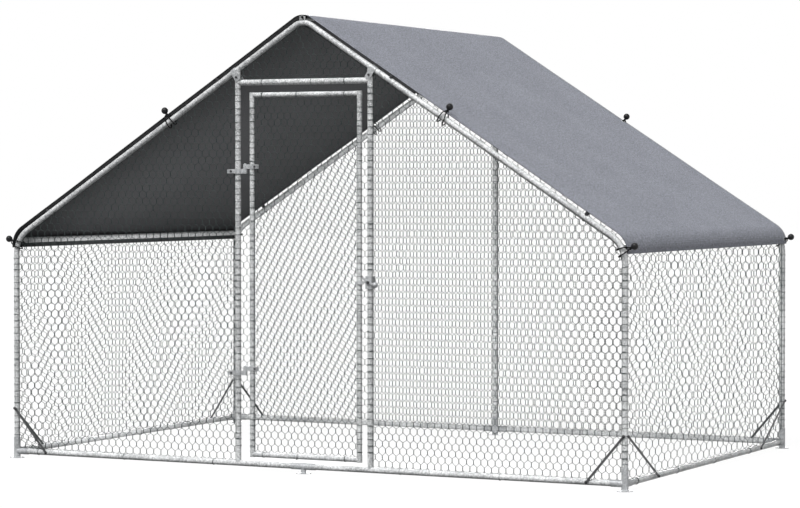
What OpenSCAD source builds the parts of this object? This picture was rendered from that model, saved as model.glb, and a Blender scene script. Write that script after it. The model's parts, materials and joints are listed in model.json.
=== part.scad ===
// Walk-in chicken run: a bolted tube frame with a gable roof, wire netting on every wall,
// a hinged netting door and a fabric roof cover held down by elastic ball ties.
// Millimetres, +Z up. The origin is on the ground in the middle of the run, and the door
// is in the front gable, which faces -Y.

/* [Run] */
// Width over the corner posts
run_w = 3000; // [2600:10:3600]
// Depth over the corner posts
run_d = 2000; // [1600:10:3000]
// Height at which the axes of a post and its rafter meet
eave_h = 998; // [900:1:1200]
// Slope of the roof, in degrees
roof_pitch = 32.7; // [28:0.1:38]
// Height of the ground rails' axes
rail_h = 30; // [26:1:45]

/* [Tube] */
// Outside diameter of the frame tube
tube_d = 25; // [20:0.5:30]
// Wall of the frame tube
tube_wall = 1.2; // [0.8:0.1:2]
// Clearance between pieces that plug together or seat on each other
fit_gap = 0.3; // [0.2:0.05:0.5]
// Length that a necked end plugs into the next tube
neck_l = 50; // [30:1:80]
// Length of the taper down to a neck
neck_taper = 3; // [1:0.5:6]

/* [Feet] */
// Diameter of a foot's base disc
foot_d = 65; // [50:1:90]
// Thickness of a foot's base disc
foot_t = 3; // [2:0.5:6]
// Wall of the sleeves that take the ground rails
sleeve_wall = 1.5; // [1:0.1:2.5]
// Wall of the sleeves that take the posts
post_sleeve_wall = 1.9; // [1.7:0.1:3]
// Height of the top of the post sleeves
post_sleeve_h = 95; // [70:1:140]
// Reach of a corner foot's rail sleeves from the post axis
rail_sleeve_l = 60; // [40:1:100]
// Length of the tee sleeves in the middle of the front and rear
tee_l = 115; // [90:1:160]
// Diameter of the stem under a tee sleeve
stem_d = 22; // [16:1:24]

/* [Roof frame] */
// Bend radius of the eave elbows, on the axis
eave_r = 130; // [100:1:180]
// Height of the joint between a post and its eave elbow
post_joint_h = 878; // [700:1:890]
// Length of an eave elbow's straight leg on the slope
elbow_leg = 165; // [110:1:240]
// Place of the eave rail on the elbow's bend, in degrees above the horizontal
eave_rail_angle = 29; // [28:1:34]
// Bend radius of the ridge elbows, on the axis
ridge_r = 75; // [60:1:110]
// Length of a ridge elbow's arm along the slope
ridge_arm = 520; // [470:1:640]
// Diameter of the ridge rail that lies on the ridge elbows
ridge_rail_d = 19; // [16:0.5:25]
// Thickness of the ears that hold the ridge rail
ridge_ear_t = 3; // [2:0.5:5]
// Width of those ears
ridge_ear_w = 20; // [14:1:24]

/* [Corner braces] */
// Height at which a brace meets its post
brace_h = 224; // [160:1:320]
// Reach of the braces on the front and rear rails
brace_reach_front = 165; // [120:1:260]
// Reach of the braces on the left rail
brace_reach_left = 240; // [160:1:420]
// Reach of the braces on the right rail
brace_reach_right = 340; // [160:1:420]
// Width of the brace strap
brace_w = 10; // [8:0.5:16]
// Thickness of the brace strap
brace_t = 3; // [2:0.5:5]

/* [Door frame] */
// Distance of each jamb from the middle of the front
jamb_x = 324; // [290:1:380]
// Drop of the header's axis below the rafter's axis at the jamb
header_drop = 58; // [50:1:120]
// Width along the rafter of the strap that ties a jamb to it
strap_w = 26; // [20:1:36]
// Thickness of that strap
strap_t = 2.5; // [2:0.5:4]
// Length of that strap's legs below the rafter's axis
strap_l = 46; // [40:1:60]
// Diameter of the frame bolts
bolt_d = 6; // [5:0.5:8]

/* [Door] */
// Outside diameter of the door tube
door_tube_d = 22; // [18:0.5:25]
// Distance from the hinge pin to the jamb's axis and to the stile's axis
hinge_reach = 35.5; // [33:0.5:45]
// Distance from the latch stile's axis to the latch jamb's axis
latch_reach = 52; // [46:1:60]
// Drop of the door's top rail below the header
head_gap = 55; // [40:1:90]
// Rise of the door's bottom rail above the ground rail
sill_gap = 41; // [36:1:80]
// Length of a door corner's legs
corner_leg = 22; // [18:1:40]
// Length of a door corner's plugs
corner_plug = 40; // [20:1:60]
// Drop of the upper hinge below the door's top rail
hinge_drop = 330; // [150:1:450]
// Rise of the lower hinge above the door's bottom rail
hinge_rise = 353; // [150:1:450]
// Height of a hinge clamp
clamp_h = 20; // [14:1:26]
// Thickness of a hinge clamp's band
clamp_t = 3; // [2:0.5:4]
// Reach of the ears of a clamp from the tube's axis
ear_l = 47; // [34:1:60]
// Angle by which the ears turn forward, clear of the netting
ear_turn = 30; // [25:1:50]
// Diameter of the hinge pins
pin_d = 10; // [8:0.5:12]
// Clearance all round a hinge pin
pin_gap = 0.08; // [0.04:0.01:0.1]
// Diameter of the hinge knuckles
knuckle_d = 18; // [16:0.5:24]

/* [Latch] */
// Height of the latch's pivot
latch_h = 829; // [600:1:1100]
// Height of the latch body
latch_body_h = 56; // [44:1:80]
// Thickness of the latch body in front of the jamb
latch_face_t = 6; // [4:0.5:10]
// Thickness of the lever
lever_t = 4; // [3:0.5:6]
// Width of the lever's arms
lever_w = 10; // [8:0.5:12]
// Reach of the lever's tip from its pivot
lever_tip = 36; // [33:1:42]
// Reach of the lever's knob from its pivot
lever_tail = 35; // [26:1:50]
// Rise of the lever's tip arm at rest, in degrees
lever_rise = 36; // [34:1:50]
// Droop of the lever's knob arm at rest, in degrees
lever_droop = 16; // [0:1:30]
// Diameter of the lever's knob
knob_d = 25; // [18:1:30]
// Diameter of the lever's pivot screw
pivot_d = 8; // [6:0.5:10]
// Reach of the keeper's tab past the latch stile's axis
keeper_reach = 30; // [27:1:34]
// Height of the keeper's tab
keeper_h = 13; // [10:1:16]
// Thickness of the keeper's sheet
keeper_t = 3; // [2:0.5:4]

/* [Cover] */
// Thickness of the cover with its lining
cover_t = 2; // [1:0.5:3]
// Radius of the cover over the ridge
cover_ridge_r = 75; // [60:1:110]
// Radius of the cover at the eaves
cover_eave_r = 100; // [80:1:130]
// Straight drop of the hem below the eave's curve
hem_drop = 3; // [2:1:30]

/* [Ball ties] */
// Diameter of a tie's ball
ball_d = 30; // [24:1:40]
// Diameter of the elastic cord
elastic_d = 4; // [3:0.5:5]
// Height of a ball above the cover
ball_lift = 10; // [0:1:20]
// Place of the upper ties along the roof, from the middle of the run
tie_x = 668; // [600:1:900]
// Place of the corner ties on the elbow's bend, in degrees above the horizontal
tie_angle = 22; // [19:1:23]

/* [Netting] */
// Width aimed at for a mesh of the netting
mesh_w = 125; // [110:1:250]
// Width of the netting's wire
wire_w = 2.6; // [2:0.1:5]
// Thickness of the netting
net_t = 1.6; // [1:0.1:3]
// Width of the selvedge round each panel
selvedge_w = 3.4; // [2:0.1:8]

/* [Hidden] */
$fn = 64;
// Overrun of every cut
over = 1;
// Lap of a bent tube's straight legs into its bend, and the hair by which they are thinner
seam_lap = 2;
seam_step = 0.1;
// Points on each round stretch of an outline
arc_steps = 10;
// Sides of a hexagonal bolt head or nut
hex_sides = 6;
// Bolt head and nut sizes as shares of the bolt's diameter
head_width_share = 1.85;
head_height_share = 0.65;
// Clearance of a bolt in its hole
bolt_gap = 0.2;
// Radius of the domed bolts under the cover, and of the sphere that rounds them
dome_r = 9;
dome_round = 14;
// Rise of the ridge rail's ears above the rail's axis
ridge_ear_rise = 5;
// Diameter of the bolts through the ridge rail
ridge_bolt_d = 5;
// Slit between a clamp's ears, and the step from the band's edge down to the ears
ear_slit = 4;
ear_step = 1;
// Width of the arm between a clamp and its knuckle
knuckle_arm_w = 9;
// Free end of a hinge pin above the eye
pin_tail = 4;
// Wall of the latch body beside the jamb
latch_side_wall = 2;
// Radii of the lever's boss and of the pivot screw's head, and that head's thickness
lever_boss_r = 9;
pivot_head_r = 7;
pivot_head_t = 3;
// Depth of the pivot screw in the latch body
pivot_depth = 5;
// Thickness of the web between the rails inside a tee
tee_web = 4;
// Floor left under a post in its sleeve
post_seat = 6;
// Extra wall of the door corners round their plugs
corner_wall = 0.8;

tube_r = tube_d / 2;
bore_r = tube_r - tube_wall;
neck_r = bore_r - fit_gap;
seat_r = tube_r + fit_gap;
stub_floor = tube_r + tube_wall;
bolt_r = bolt_d / 2;
door_r = door_tube_d / 2;
door_bore_r = door_r - tube_wall;
plug_r = door_bore_r - fit_gap;
post_x = run_w / 2 - tube_r;
post_y = run_d / 2 - tube_r;

sleeve_r = seat_r + sleeve_wall;
post_sleeve_r = seat_r + post_sleeve_wall;
rail_seat = post_sleeve_r + sleeve_wall;
rail_end = rail_seat + fit_gap;
tee_seat = tee_web / 2;

bend = 90 - roof_pitch;
eave_tan = eave_r * tan(bend / 2);
elbow_x = post_x - eave_r;
elbow_z = eave_h - eave_tan;
apex_h = eave_h + post_x * tan(roof_pitch);
slope_l = post_x / cos(roof_pitch);
elbow_end = eave_tan + elbow_leg;
ridge_end = slope_l - ridge_arm;
ridge_tan = ridge_r * tan(roof_pitch);
ridge_z = apex_h - ridge_r / cos(roof_pitch);
ridge_rail_r = ridge_rail_d / 2;
ridge_rail_z = ridge_z + ridge_r + tube_r + fit_gap + ridge_rail_r;
ridge_bolt_r = ridge_bolt_d / 2;
eave_rail_x = elbow_x + eave_r * cos(eave_rail_angle);
eave_rail_z = elbow_z + eave_r * sin(eave_rail_angle);

// The cover's inner face lies on the ridge rail and runs parallel to the rafters
cover_top = ridge_rail_z + ridge_rail_r + fit_gap;
cover_off = (cover_top - apex_h + cover_ridge_r * (1 / cos(roof_pitch) - 1)) * cos(roof_pitch);
cover_ridge_z = cover_top - cover_ridge_r;
cover_side = post_x + seat_r;
cover_eave_x = cover_side - cover_eave_r;
cover_eave_z = (apex_h * cos(roof_pitch) + cover_off - cover_eave_r - cover_eave_x * sin(roof_pitch))
    / cos(roof_pitch);
cover_l = 2 * (post_y + tube_r);

tie_r = seat_r + elastic_d / 2;
ball_r = ball_d / 2;
ball_off = cover_off + cover_t + ball_lift + ball_r;
tie_straight = ball_off - tie_r;

header_h = apex_h - jamb_x * tan(roof_pitch) - header_drop;
door_top = header_h - head_gap;
door_low = rail_h + sill_gap;
pin_x = hinge_reach - jamb_x;
hinge_stile_x = pin_x + hinge_reach;
latch_stile_x = jamb_x - latch_reach;
corner_r = door_r + corner_wall;
hinge_places = [door_low + hinge_rise, door_top - hinge_drop];
pin_r = pin_d / 2;
knuckle_r = knuckle_d / 2;
eye_rise = clamp_h + fit_gap;
pivot_r = pivot_d / 2;
latch_face = seat_r + latch_face_t;
latch_half_w = seat_r + latch_side_wall;
lever_back = latch_face + fit_gap;
strap_hole = (strap_l + seat_r) / 2;

// Reach of a roof joint's bolt below the rafter's axis
joint_bolt_end = tube_r + bolt_d;

// Room that the netting leaves round the post sleeves, the clamps, the tie loops and the bolts
net_edge = post_sleeve_r + fit_gap;
jamb_edge = seat_r + clamp_t + fit_gap;
roof_edge = max(tie_r + elastic_d / 2, joint_bolt_end) + fit_gap;
header_edge = seat_r;
door_edge = corner_r + fit_gap;
stile_edge = door_r + fit_gap + max(clamp_t, keeper_t) + fit_gap;

// Helpers: placing

// Copies what is drawn for the front right corner to the corner named by the two signs
module at_corner(side, end) {
    scale_x = side > 0 ? [0, 0, 0] : [1, 0, 0];
    scale_y = end < 0 ? [0, 0, 0] : [0, 1, 0];
    mirror(scale_x) mirror(scale_y) children();
}

// Draws its children for all four corners
module at_corners() {
    for (side = [-1, 1], end = [-1, 1])
        at_corner(side, end) children();
}

// Puts +Z along the right-hand slope, from the meeting of the post's and rafter's axes
module on_slope(along = 0) {
    translate([post_x, -post_y, eave_h]) rotate([0, -bend, 0]) translate([0, 0, along]) children();
}

// Puts +X along the outward normal at a place on the front right elbow's bend
module on_bend(angle) {
    translate([elbow_x, -post_y, elbow_z]) rotate([0, -angle, 0]) translate([eave_r, 0, 0]) children();
}

// Lays +Z along +X, or along +Y
module along_x() {
    rotate([0, 90, 0]) children();
}

module along_y() {
    rotate([-90, 0, 0]) children();
}

// Helpers: shapes

module bore(l, r) {
    translate([0, 0, -over]) cylinder(h = l + 2 * over, r = r);
}

module tube(l, r = tube_r, wall = tube_wall) {
    difference() {
        cylinder(h = l, r = r);
        bore(l, r - wall);
    }
}

// A tube along +Z whose ends can neck down to plug into the next tube
module necked_tube(l, low = false, high = false) {
    low_outer = low ? [[neck_r, -neck_l], [neck_r, 0], [tube_r, neck_taper]] : [[tube_r, 0]];
    high_outer = high ? [[tube_r, l - neck_taper], [neck_r, l], [neck_r, l + neck_l]] : [[tube_r, l]];
    outer = concat(low_outer, high_outer);
    inner = [for (i = [len(outer) - 1:-1:0]) outer[i] - [tube_wall, 0]];
    rotate_extrude() polygon(concat(outer, inner));
}

// A bent tube's solid core of radius r: an arc about the origin in the XZ plane, from +X upwards
module bend_core(bend_r, angle, r) {
    rotate([90, 0, 0]) rotate_extrude(angle = angle) translate([bend_r, 0]) circle(r);
}

// A hexagonal head or nut of a bolt of diameter d, with its base on the XY plane
module hex_head(d) {
    cylinder(h = d * head_height_share, d = d * head_width_share, $fn = hex_sides);
}

// A hexagonal nut
module hex_nut(d) {
    difference() {
        hex_head(d);
        bore(d * head_height_share, d / 2 + bolt_gap / 2);
    }
}

// A bolt along +Z that clamps a grip of the given length, with its nut at the far end
module bolt_and_nut(d, grip) {
    nut_h = d * head_height_share;
    translate([0, 0, -nut_h - fit_gap]) hex_head(d);
    translate([0, 0, -fit_gap - over / 2]) cylinder(h = grip + nut_h + 3 * fit_gap + over, d = d);
    translate([0, 0, grip + fit_gap]) hex_nut(d);
}

// Points on an arc about a centre, from one angle to another
function arc(centre, r, from, to) = [
    for (i = [0:arc_steps])
        let (a = from + (to - from) * i / arc_steps)
        centre + r * [cos(a), sin(a)]
];

function reversed(points) = [for (i = [len(points) - 1:-1:0]) points[i]];

// The whole of an outline whose right half is given and ends on the middle line
function both_halves(half) = concat(half, [for (i = [len(half) - 2:-1:0]) [-half[i][0], half[i][1]]]);

// Feet

module base_disc() {
    cylinder(h = foot_t, d = foot_d);
}

// The corner foot at the front right: a post sleeve on a disc, with a sleeve for each rail
module corner_foot() {
    translate([post_x, -post_y, 0]) difference() {
        union() {
            base_disc();
            cylinder(h = post_sleeve_h, r = post_sleeve_r);
            translate([0, 0, rail_h]) rotate([0, 0, 180]) along_x() cylinder(h = rail_sleeve_l, r = sleeve_r);
            translate([0, 0, rail_h]) along_y() cylinder(h = rail_sleeve_l, r = sleeve_r);
        }
        translate([0, 0, post_seat]) cylinder(h = post_sleeve_h, r = seat_r);
        translate([-rail_seat, 0, rail_h]) rotate([0, 0, 180]) along_x() cylinder(h = rail_sleeve_l, r = seat_r);
        translate([0, rail_seat, rail_h]) along_y() cylinder(h = rail_sleeve_l, r = seat_r);
    }
}

module corner_foot_at(side, end) {
    color("silver") at_corner(side, end) corner_foot();
}

// A tee sleeve for the two rails, with a web between their ends and a stem on a disc
module tee_foot(seat) {
    difference() {
        union() {
            base_disc();
            cylinder(h = rail_h, d = stem_d);
            translate([-tee_l / 2, 0, rail_h]) along_x() cylinder(h = tee_l, r = sleeve_r);
            children();
        }
        for (side = [0, 180])
            rotate([0, 0, side]) translate([seat, 0, rail_h]) along_x() cylinder(h = tee_l, r = seat_r);
    }
}

module centre_foot_front() {
    color("silver") translate([0, -post_y, 0]) tee_foot(tee_seat);
}

// The rear foot also takes the centre post
module centre_foot_rear() {
    color("silver") translate([0, post_y, 0]) difference() {
        tee_foot(rail_seat) cylinder(h = post_sleeve_h, r = post_sleeve_r);
        translate([0, 0, rail_h]) cylinder(h = post_sleeve_h, r = seat_r);
    }
}

// Ground rails

// A front rail, from its corner foot to the tee, with the stub that the jamb stands on
module front_rail() {
    l = post_x - rail_end - tee_seat - fit_gap;
    color("lightgray") translate([tee_seat + fit_gap, -post_y, rail_h]) difference() {
        union() {
            along_x() cylinder(h = l, r = tube_r);
            translate([jamb_x - tee_seat - fit_gap, 0, 0]) cylinder(h = tube_r + neck_l, r = neck_r);
        }
        along_x() bore(l, bore_r);
        translate([jamb_x - tee_seat - fit_gap, 0, stub_floor]) cylinder(h = neck_l + over, r = neck_r - tube_wall);
    }
}

module front_rail_left() {
    mirror([1, 0, 0]) front_rail();
}

module front_rail_right() {
    front_rail();
}

module rear_rail() {
    color("lightgray") translate([rail_end, post_y, rail_h]) along_x() tube(post_x - 2 * rail_end);
}

module rear_rail_left() {
    mirror([1, 0, 0]) rear_rail();
}

module rear_rail_right() {
    rear_rail();
}

module side_rail() {
    color("lightgray") translate([post_x, rail_end - post_y, rail_h]) along_y() tube(2 * (post_y - rail_end));
}

module left_rail() {
    mirror([1, 0, 0]) side_rail();
}

module right_rail() {
    side_rail();
}

// Posts and roof frame

module corner_post_at(side, end) {
    foot = post_seat + fit_gap;
    color("lightgray") at_corner(side, end)
        translate([post_x, -post_y, foot]) necked_tube(post_joint_h - foot, high = true);
}

// The rear post stands in the rear tee and takes the ridge elbow's plug
module rear_centre_post() {
    foot = rail_h + fit_gap;
    top = ridge_z + sqrt(pow(ridge_r - tube_r, 2) - pow(tube_r, 2)) - fit_gap;
    color("lightgray") translate([0, post_y, foot]) tube(top - foot);
}

// The hole for a domed bolt through a roof joint, drawn on the slope with the bolt along +X
module joint_hole() {
    along_x() cylinder(h = 2 * tube_d, r = bolt_r + bolt_gap, center = true);
}

// Places on the slope of the two joints' bolts, in the middle of each plugged neck
joint_places = [elbow_end - neck_l / 2, ridge_end + neck_l / 2];

// A solid eave elbow of radius r at the front right, its legs lengthened by extra at the ends
module eave_core(r, extra = 0) {
    leg = elbow_z - post_joint_h - fit_gap + extra;
    translate([elbow_x, -post_y, elbow_z]) {
        bend_core(eave_r, bend, r);
        translate([eave_r, 0, -leg]) cylinder(h = leg + seam_lap, r = r - seam_step);
        rotate([0, -bend, 0]) translate([eave_r, 0, -seam_lap])
            cylinder(h = elbow_leg + extra + seam_lap, r = r - seam_step);
    }
}

// An eave elbow: a leg on the post, a bend, a leg on the slope and a stub for the eave rail
module eave_elbow_at(side, end) {
    color("lightgray") at_corner(side, end) difference() {
        union() {
            eave_core(tube_r);
            on_bend(eave_rail_angle) along_y() cylinder(h = tube_r + neck_l, r = neck_r);
        }
        eave_core(bore_r, over);
        on_bend(eave_rail_angle) translate([0, stub_floor, 0]) along_y()
            cylinder(h = neck_l + over, r = neck_r - tube_wall);
        on_slope(joint_places[0]) joint_hole();
    }
}

// A rafter between the two elbows of one slope, necked at both ends
module rafter_at(side, end) {
    low = elbow_end + fit_gap;
    color("gainsboro") at_corner(side, end) difference() {
        on_slope(low) necked_tube(ridge_end - fit_gap - low, low = true, high = true);
        for (place = joint_places)
            on_slope(place) joint_hole();
    }
}

// A solid ridge elbow of radius r at the origin's ridge, its arms lengthened by extra at the ends
module ridge_core(r, extra = 0) {
    arm = ridge_arm - ridge_tan + extra;
    translate([0, 0, ridge_z]) {
        rotate([0, -bend, 0]) bend_core(ridge_r, 2 * roof_pitch, r);
        for (side = [0, 1])
            mirror([side, 0, 0]) rotate([0, -bend, 0]) translate([ridge_r, 0, -arm])
                cylinder(h = arm + seam_lap, r = r - seam_step);
    }
}

// The ears that hold the ridge rail on top of a ridge elbow
module ridge_ears() {
    base = ridge_z + ridge_r;
    for (side = [0, 1])
        mirror([side, 0, 0])
            translate([ridge_rail_r + fit_gap, -ridge_ear_w / 2, base])
                cube([ridge_ear_t, ridge_ear_w, ridge_rail_z + ridge_ear_rise - base]);
}

// A ridge elbow, drawn at the front; the rear one also has a plug for the centre post
module ridge_elbow(plug) {
    color("gainsboro") difference() {
        translate([0, -post_y, 0]) union() {
            ridge_core(tube_r);
            ridge_ears();
            if (plug)
                translate([0, 0, ridge_z + ridge_r - tube_r - neck_l]) cylinder(h = tube_r + neck_l, r = neck_r);
        }
        translate([0, -post_y, 0]) ridge_core(bore_r, over);
        translate([0, -post_y, ridge_rail_z]) along_x()
            cylinder(h = 2 * ridge_rail_d, r = ridge_bolt_r + bolt_gap, center = true);
        for (side = [0, 1])
            mirror([side, 0, 0]) on_slope(joint_places[1]) joint_hole();
    }
}

module ridge_elbow_front() {
    ridge_elbow(false);
}

module ridge_elbow_rear() {
    mirror([0, 1, 0]) ridge_elbow(true);
}

// An eave rail slides over the stubs of its two elbows and stops short of the tie loops
module eave_rail_right() {
    inset = tie_r + elastic_d;
    color("gainsboro") translate([eave_rail_x, inset - post_y, eave_rail_z])
        along_y() tube(2 * (post_y - inset));
}

module eave_rail_left() {
    mirror([1, 0, 0]) eave_rail_right();
}

// The ridge rail lies on both ridge elbows, between their ears
module ridge_rail() {
    color("gainsboro") difference() {
        translate([0, -cover_l / 2, ridge_rail_z]) along_y() tube(cover_l, ridge_rail_r);
        for (end = [-1, 1])
            translate([0, end * post_y, ridge_rail_z]) along_x()
                cylinder(h = 2 * ridge_rail_d, r = ridge_bolt_r + bolt_gap, center = true);
    }
}

// Door frame

// Puts +Z up the right-hand front slope from where the strap's bolt comes square off the rafter
module at_jamb_strap() {
    on_slope((post_x - jamb_x - strap_hole * sin(roof_pitch)) / cos(roof_pitch)) children();
}

// The right-hand jamb: coped onto the ground rail and the rafter, with a stub for the header
module jamb() {
    top = apex_h - jamb_x * tan(roof_pitch);
    color("lightgray") difference() {
        union() {
            translate([jamb_x, -post_y, rail_h]) cylinder(h = top - rail_h, r = tube_r);
            translate([jamb_x - tube_r - neck_l, -post_y, header_h]) along_x()
                cylinder(h = tube_r + neck_l, r = neck_r);
        }
        translate([jamb_x, -post_y, rail_h]) bore(top - rail_h, bore_r);
        translate([jamb_x - stub_floor - neck_l - over, -post_y, header_h]) along_x()
            cylinder(h = neck_l + over, r = neck_r - tube_wall);
        translate([jamb_x, -post_y, rail_h]) along_x() cylinder(h = 2 * tube_d, r = seat_r, center = true);
        at_jamb_strap() cylinder(h = 5 * tube_d, r = seat_r, center = true);
        at_jamb_strap() translate([-strap_hole, 0, 0]) along_y()
            cylinder(h = 2 * tube_d, r = bolt_r + bolt_gap, center = true);
    }
}

module hinge_jamb() {
    mirror([1, 0, 0]) jamb();
}

module latch_jamb() {
    jamb();
}

// The header's ends are coped to the jambs
module door_header() {
    color("lightgray") translate([0, -post_y, header_h]) difference() {
        along_x() cylinder(h = 2 * jamb_x, r = tube_r, center = true);
        along_x() cylinder(h = 2 * jamb_x + over, r = bore_r, center = true);
        for (side = [-1, 1])
            translate([side * jamb_x, 0, 0]) cylinder(h = 2 * tube_d, r = seat_r, center = true);
    }
}

// A strap bent over the rafter, whose legs are bolted through the top of the jamb
module jamb_strap() {
    outer = seat_r + strap_t;
    at_jamb_strap() translate([0, 0, -strap_w / 2]) linear_extrude(strap_w) difference() {
        union() {
            circle(outer);
            translate([-strap_l, -outer]) square([strap_l, 2 * outer]);
        }
        circle(seat_r);
        translate([-strap_l - over, -seat_r]) square([strap_l + over, 2 * seat_r]);
    }
}

module jamb_straps() {
    color("silver") for (side = [0, 1])
        mirror([side, 0, 0]) difference() {
            jamb_strap();
            at_jamb_strap() translate([-strap_hole, 0, 0]) along_y()
                cylinder(h = 2 * tube_d, r = bolt_r + bolt_gap, center = true);
        }
}

// Corner braces

// A flat strap with round ends between two places in the XZ plane, its back on y = 0
module brace_strap(reach, rise) {
    l = sqrt(reach * reach + rise * rise);
    hole_d = brace_w / 2;
    rotate([0, atan2(rise, reach), 0]) rotate([90, 0, 0]) linear_extrude(brace_t) difference() {
        union() {
            circle(d = brace_w);
            translate([l, 0]) circle(d = brace_w);
            translate([0, -brace_w / 2]) square([l, brace_w]);
        }
        circle(d = hole_d);
        translate([l, 0]) circle(d = hole_d);
    }
}

// The straps of a right-hand front corner, one on the front rail and one on the side rail
module corner_straps(side_reach) {
    rise = brace_h - rail_h;
    translate([post_x, -post_y - seat_r, brace_h]) mirror([1, 0, 0]) brace_strap(brace_reach_front, rise);
    translate([post_x + seat_r, -post_y, brace_h]) rotate([0, 0, 90]) brace_strap(side_reach, rise);
}

// On each corner one strap lies on the front or rear rail and one on the side rail
module corner_braces() {
    color("dimgray") for (end = [-1, 1]) {
        at_corner(1, end) corner_straps(brace_reach_right);
        at_corner(-1, end) corner_straps(brace_reach_left);
    }
}

// Bolts

// A bolt through a roof joint, along -X, whose tall domed head carries the cover
module domed_bolt() {
    height = cover_off - fit_gap;
    difference() {
        union() {
            along_x() intersection() {
                cylinder(h = height, r = dome_r);
                translate([0, 0, height - dome_round]) sphere(dome_round);
            }
            translate([-joint_bolt_end, 0, 0]) along_x()
                cylinder(h = joint_bolt_end + tube_r + over, r = bolt_r);
        }
        difference() {
            cylinder(h = 2 * tube_d, r = seat_r, center = true);
            along_x() cylinder(h = 2 * tube_d, r = bolt_r, center = true);
        }
    }
    translate([-seat_r, 0, 0]) rotate([0, 180, 0]) along_x() hex_nut(bolt_d);
}

module joint_bolts() {
    color("dimgray") at_corners() for (place = joint_places)
        on_slope(place) domed_bolt();
}

// Bolts of the ridge rail, the jamb straps and the hinge clamps on the jamb, and the latch's pivot screw
module frame_bolts() {
    color("dimgray") {
        for (end = [-1, 1])
            translate([-ridge_rail_r - fit_gap - ridge_ear_t, end * post_y, ridge_rail_z]) along_x()
                bolt_and_nut(ridge_bolt_d, ridge_rail_d + 2 * (fit_gap + ridge_ear_t));
        for (side = [0, 1])
            mirror([side, 0, 0]) at_jamb_strap() translate([-strap_hole, -seat_r - strap_t, 0]) along_y()
                bolt_and_nut(bolt_d, 2 * (seat_r + strap_t));
        for (z = hinge_places)
            translate([-jamb_x, -post_y, z]) ear_bolt(180 + ear_turn, seat_r);
        translate([jamb_x, -post_y - latch_face, latch_h]) pivot_screw();
    }
}

// Netting

// A hexagonal mesh with upright sides, of the given pitch and row height, less its share of the wire
module mesh_hole(pitch, row) {
    k = 1 - wire_w / pitch;
    tip = row * 2 / 3;
    polygon(k * [
        [pitch / 2, -tip / 2], [pitch / 2, tip / 2], [0, tip],
        [-pitch / 2, tip / 2], [-pitch / 2, -tip / 2], [0, -tip]
    ]);
}

// Rows of meshes over a panel of the given width and height, from its lower left corner
module mesh_rows(w, h) {
    columns = max(1, round(w / mesh_w));
    pitch = w / columns;
    row = pitch * 1.5 * tan(roof_pitch);
    rows = ceil(h / row);
    for (j = [0:rows], i = [0:columns - j % 2])
        translate([(i + (j % 2 == 0 ? 0 : 1 / 2)) * pitch, j * row]) mesh_hole(pitch, row);
}

// The area inside the gable's posts and rafters, kept clear of their axes by edge
module gable_area(edge) {
    right = concat(
        [[post_x - edge, 0]],
        arc([elbow_x, elbow_z], eave_r - edge, 0, bend),
        arc([0, ridge_z], ridge_r - edge, bend, 90)
    );
    polygon(both_halves(right));
}

// The part of the gable's area between x0 and x1 and above z0, shrunk by inset
module gable_panel(x0, x1, z0, inset = 0) {
    intersection() {
        gable_area(roof_edge + inset);
        translate([x0 + inset, z0 + inset]) square([x1 - x0 - 2 * inset, apex_h]);
    }
}

// A netting panel of that part in the XZ plane: a selvedge round an area of meshes
module gable_net(x0, x1, z0) {
    rotate([90, 0, 0]) linear_extrude(net_t, center = true) difference() {
        gable_panel(x0, x1, z0);
        intersection() {
            gable_panel(x0, x1, z0, selvedge_w);
            translate([x0 + selvedge_w, z0 + selvedge_w]) mesh_rows(x1 - x0 - 2 * selvedge_w, apex_h - z0);
        }
    }
}

// A rectangular netting panel in the XZ plane, from the origin
module flat_net(w, h) {
    inner_w = w - 2 * selvedge_w;
    inner_h = h - 2 * selvedge_w;
    rotate([90, 0, 0]) linear_extrude(net_t, center = true) difference() {
        square([w, h]);
        intersection() {
            translate([selvedge_w, selvedge_w]) square([inner_w, inner_h]);
            translate([selvedge_w, selvedge_w]) mesh_rows(inner_w, inner_h);
        }
    }
}

module net_front_right() {
    color("darkgray") translate([0, -post_y, 0])
        gable_net(jamb_x + jamb_edge, post_x - net_edge, rail_h + net_edge);
}

module net_front_left() {
    mirror([1, 0, 0]) net_front_right();
}

module net_gable() {
    side = jamb_x - jamb_edge;
    color("darkgray") translate([0, -post_y, 0]) gable_net(-side, side, header_h + header_edge);
}

module net_rear_right() {
    color("darkgray") translate([0, post_y, 0]) gable_net(net_edge, post_x - net_edge, rail_h + net_edge);
}

module net_rear_left() {
    mirror([1, 0, 0]) net_rear_right();
}

module net_right() {
    top = eave_rail_z - net_edge - elastic_d;
    color("darkgray") translate([post_x, net_edge - post_y, rail_h + net_edge]) rotate([0, 0, 90])
        flat_net(2 * (post_y - net_edge), top - rail_h - net_edge);
}

module net_left() {
    mirror([1, 0, 0]) net_right();
}

module net_door() {
    w = latch_stile_x - hinge_stile_x - 2 * stile_edge;
    color("darkgray") translate([hinge_stile_x + stile_edge, -post_y, door_low + door_edge])
        flat_net(w, door_top - door_low - 2 * door_edge);
}

// Cover and ball ties

// Half of the cover's section, from the hem up to the ridge, grown outwards by grow
function cover_half(grow) = concat(
    [[cover_side + grow, cover_eave_z - hem_drop]],
    arc([cover_eave_x, cover_eave_z], cover_eave_r + grow, 0, bend),
    arc([0, cover_ridge_z], cover_ridge_r + grow, bend, 90)
);

// The place of each tie on the front right: upper ones on the rafter, lower ones on the elbow
module at_ties() {
    at_corners() {
        on_slope((post_x - tie_x) / cos(roof_pitch)) children();
        on_bend(tie_angle) children();
    }
}

// A sheet arched over the ridge rail and down to the eave rails, with an eyelet behind each tie
module roof_cover() {
    outer = both_halves(cover_half(cover_t));
    inner = both_halves(cover_half(0));
    eyelet_r = elastic_d / 2 + fit_gap;
    color("slategray") difference() {
        rotate([90, 0, 0]) linear_extrude(cover_l, center = true)
            polygon(concat(outer, reversed(inner)));
        at_ties() translate([0, tie_r, 0]) along_x() cylinder(h = ball_off, r = eyelet_r);
    }
}

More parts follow.
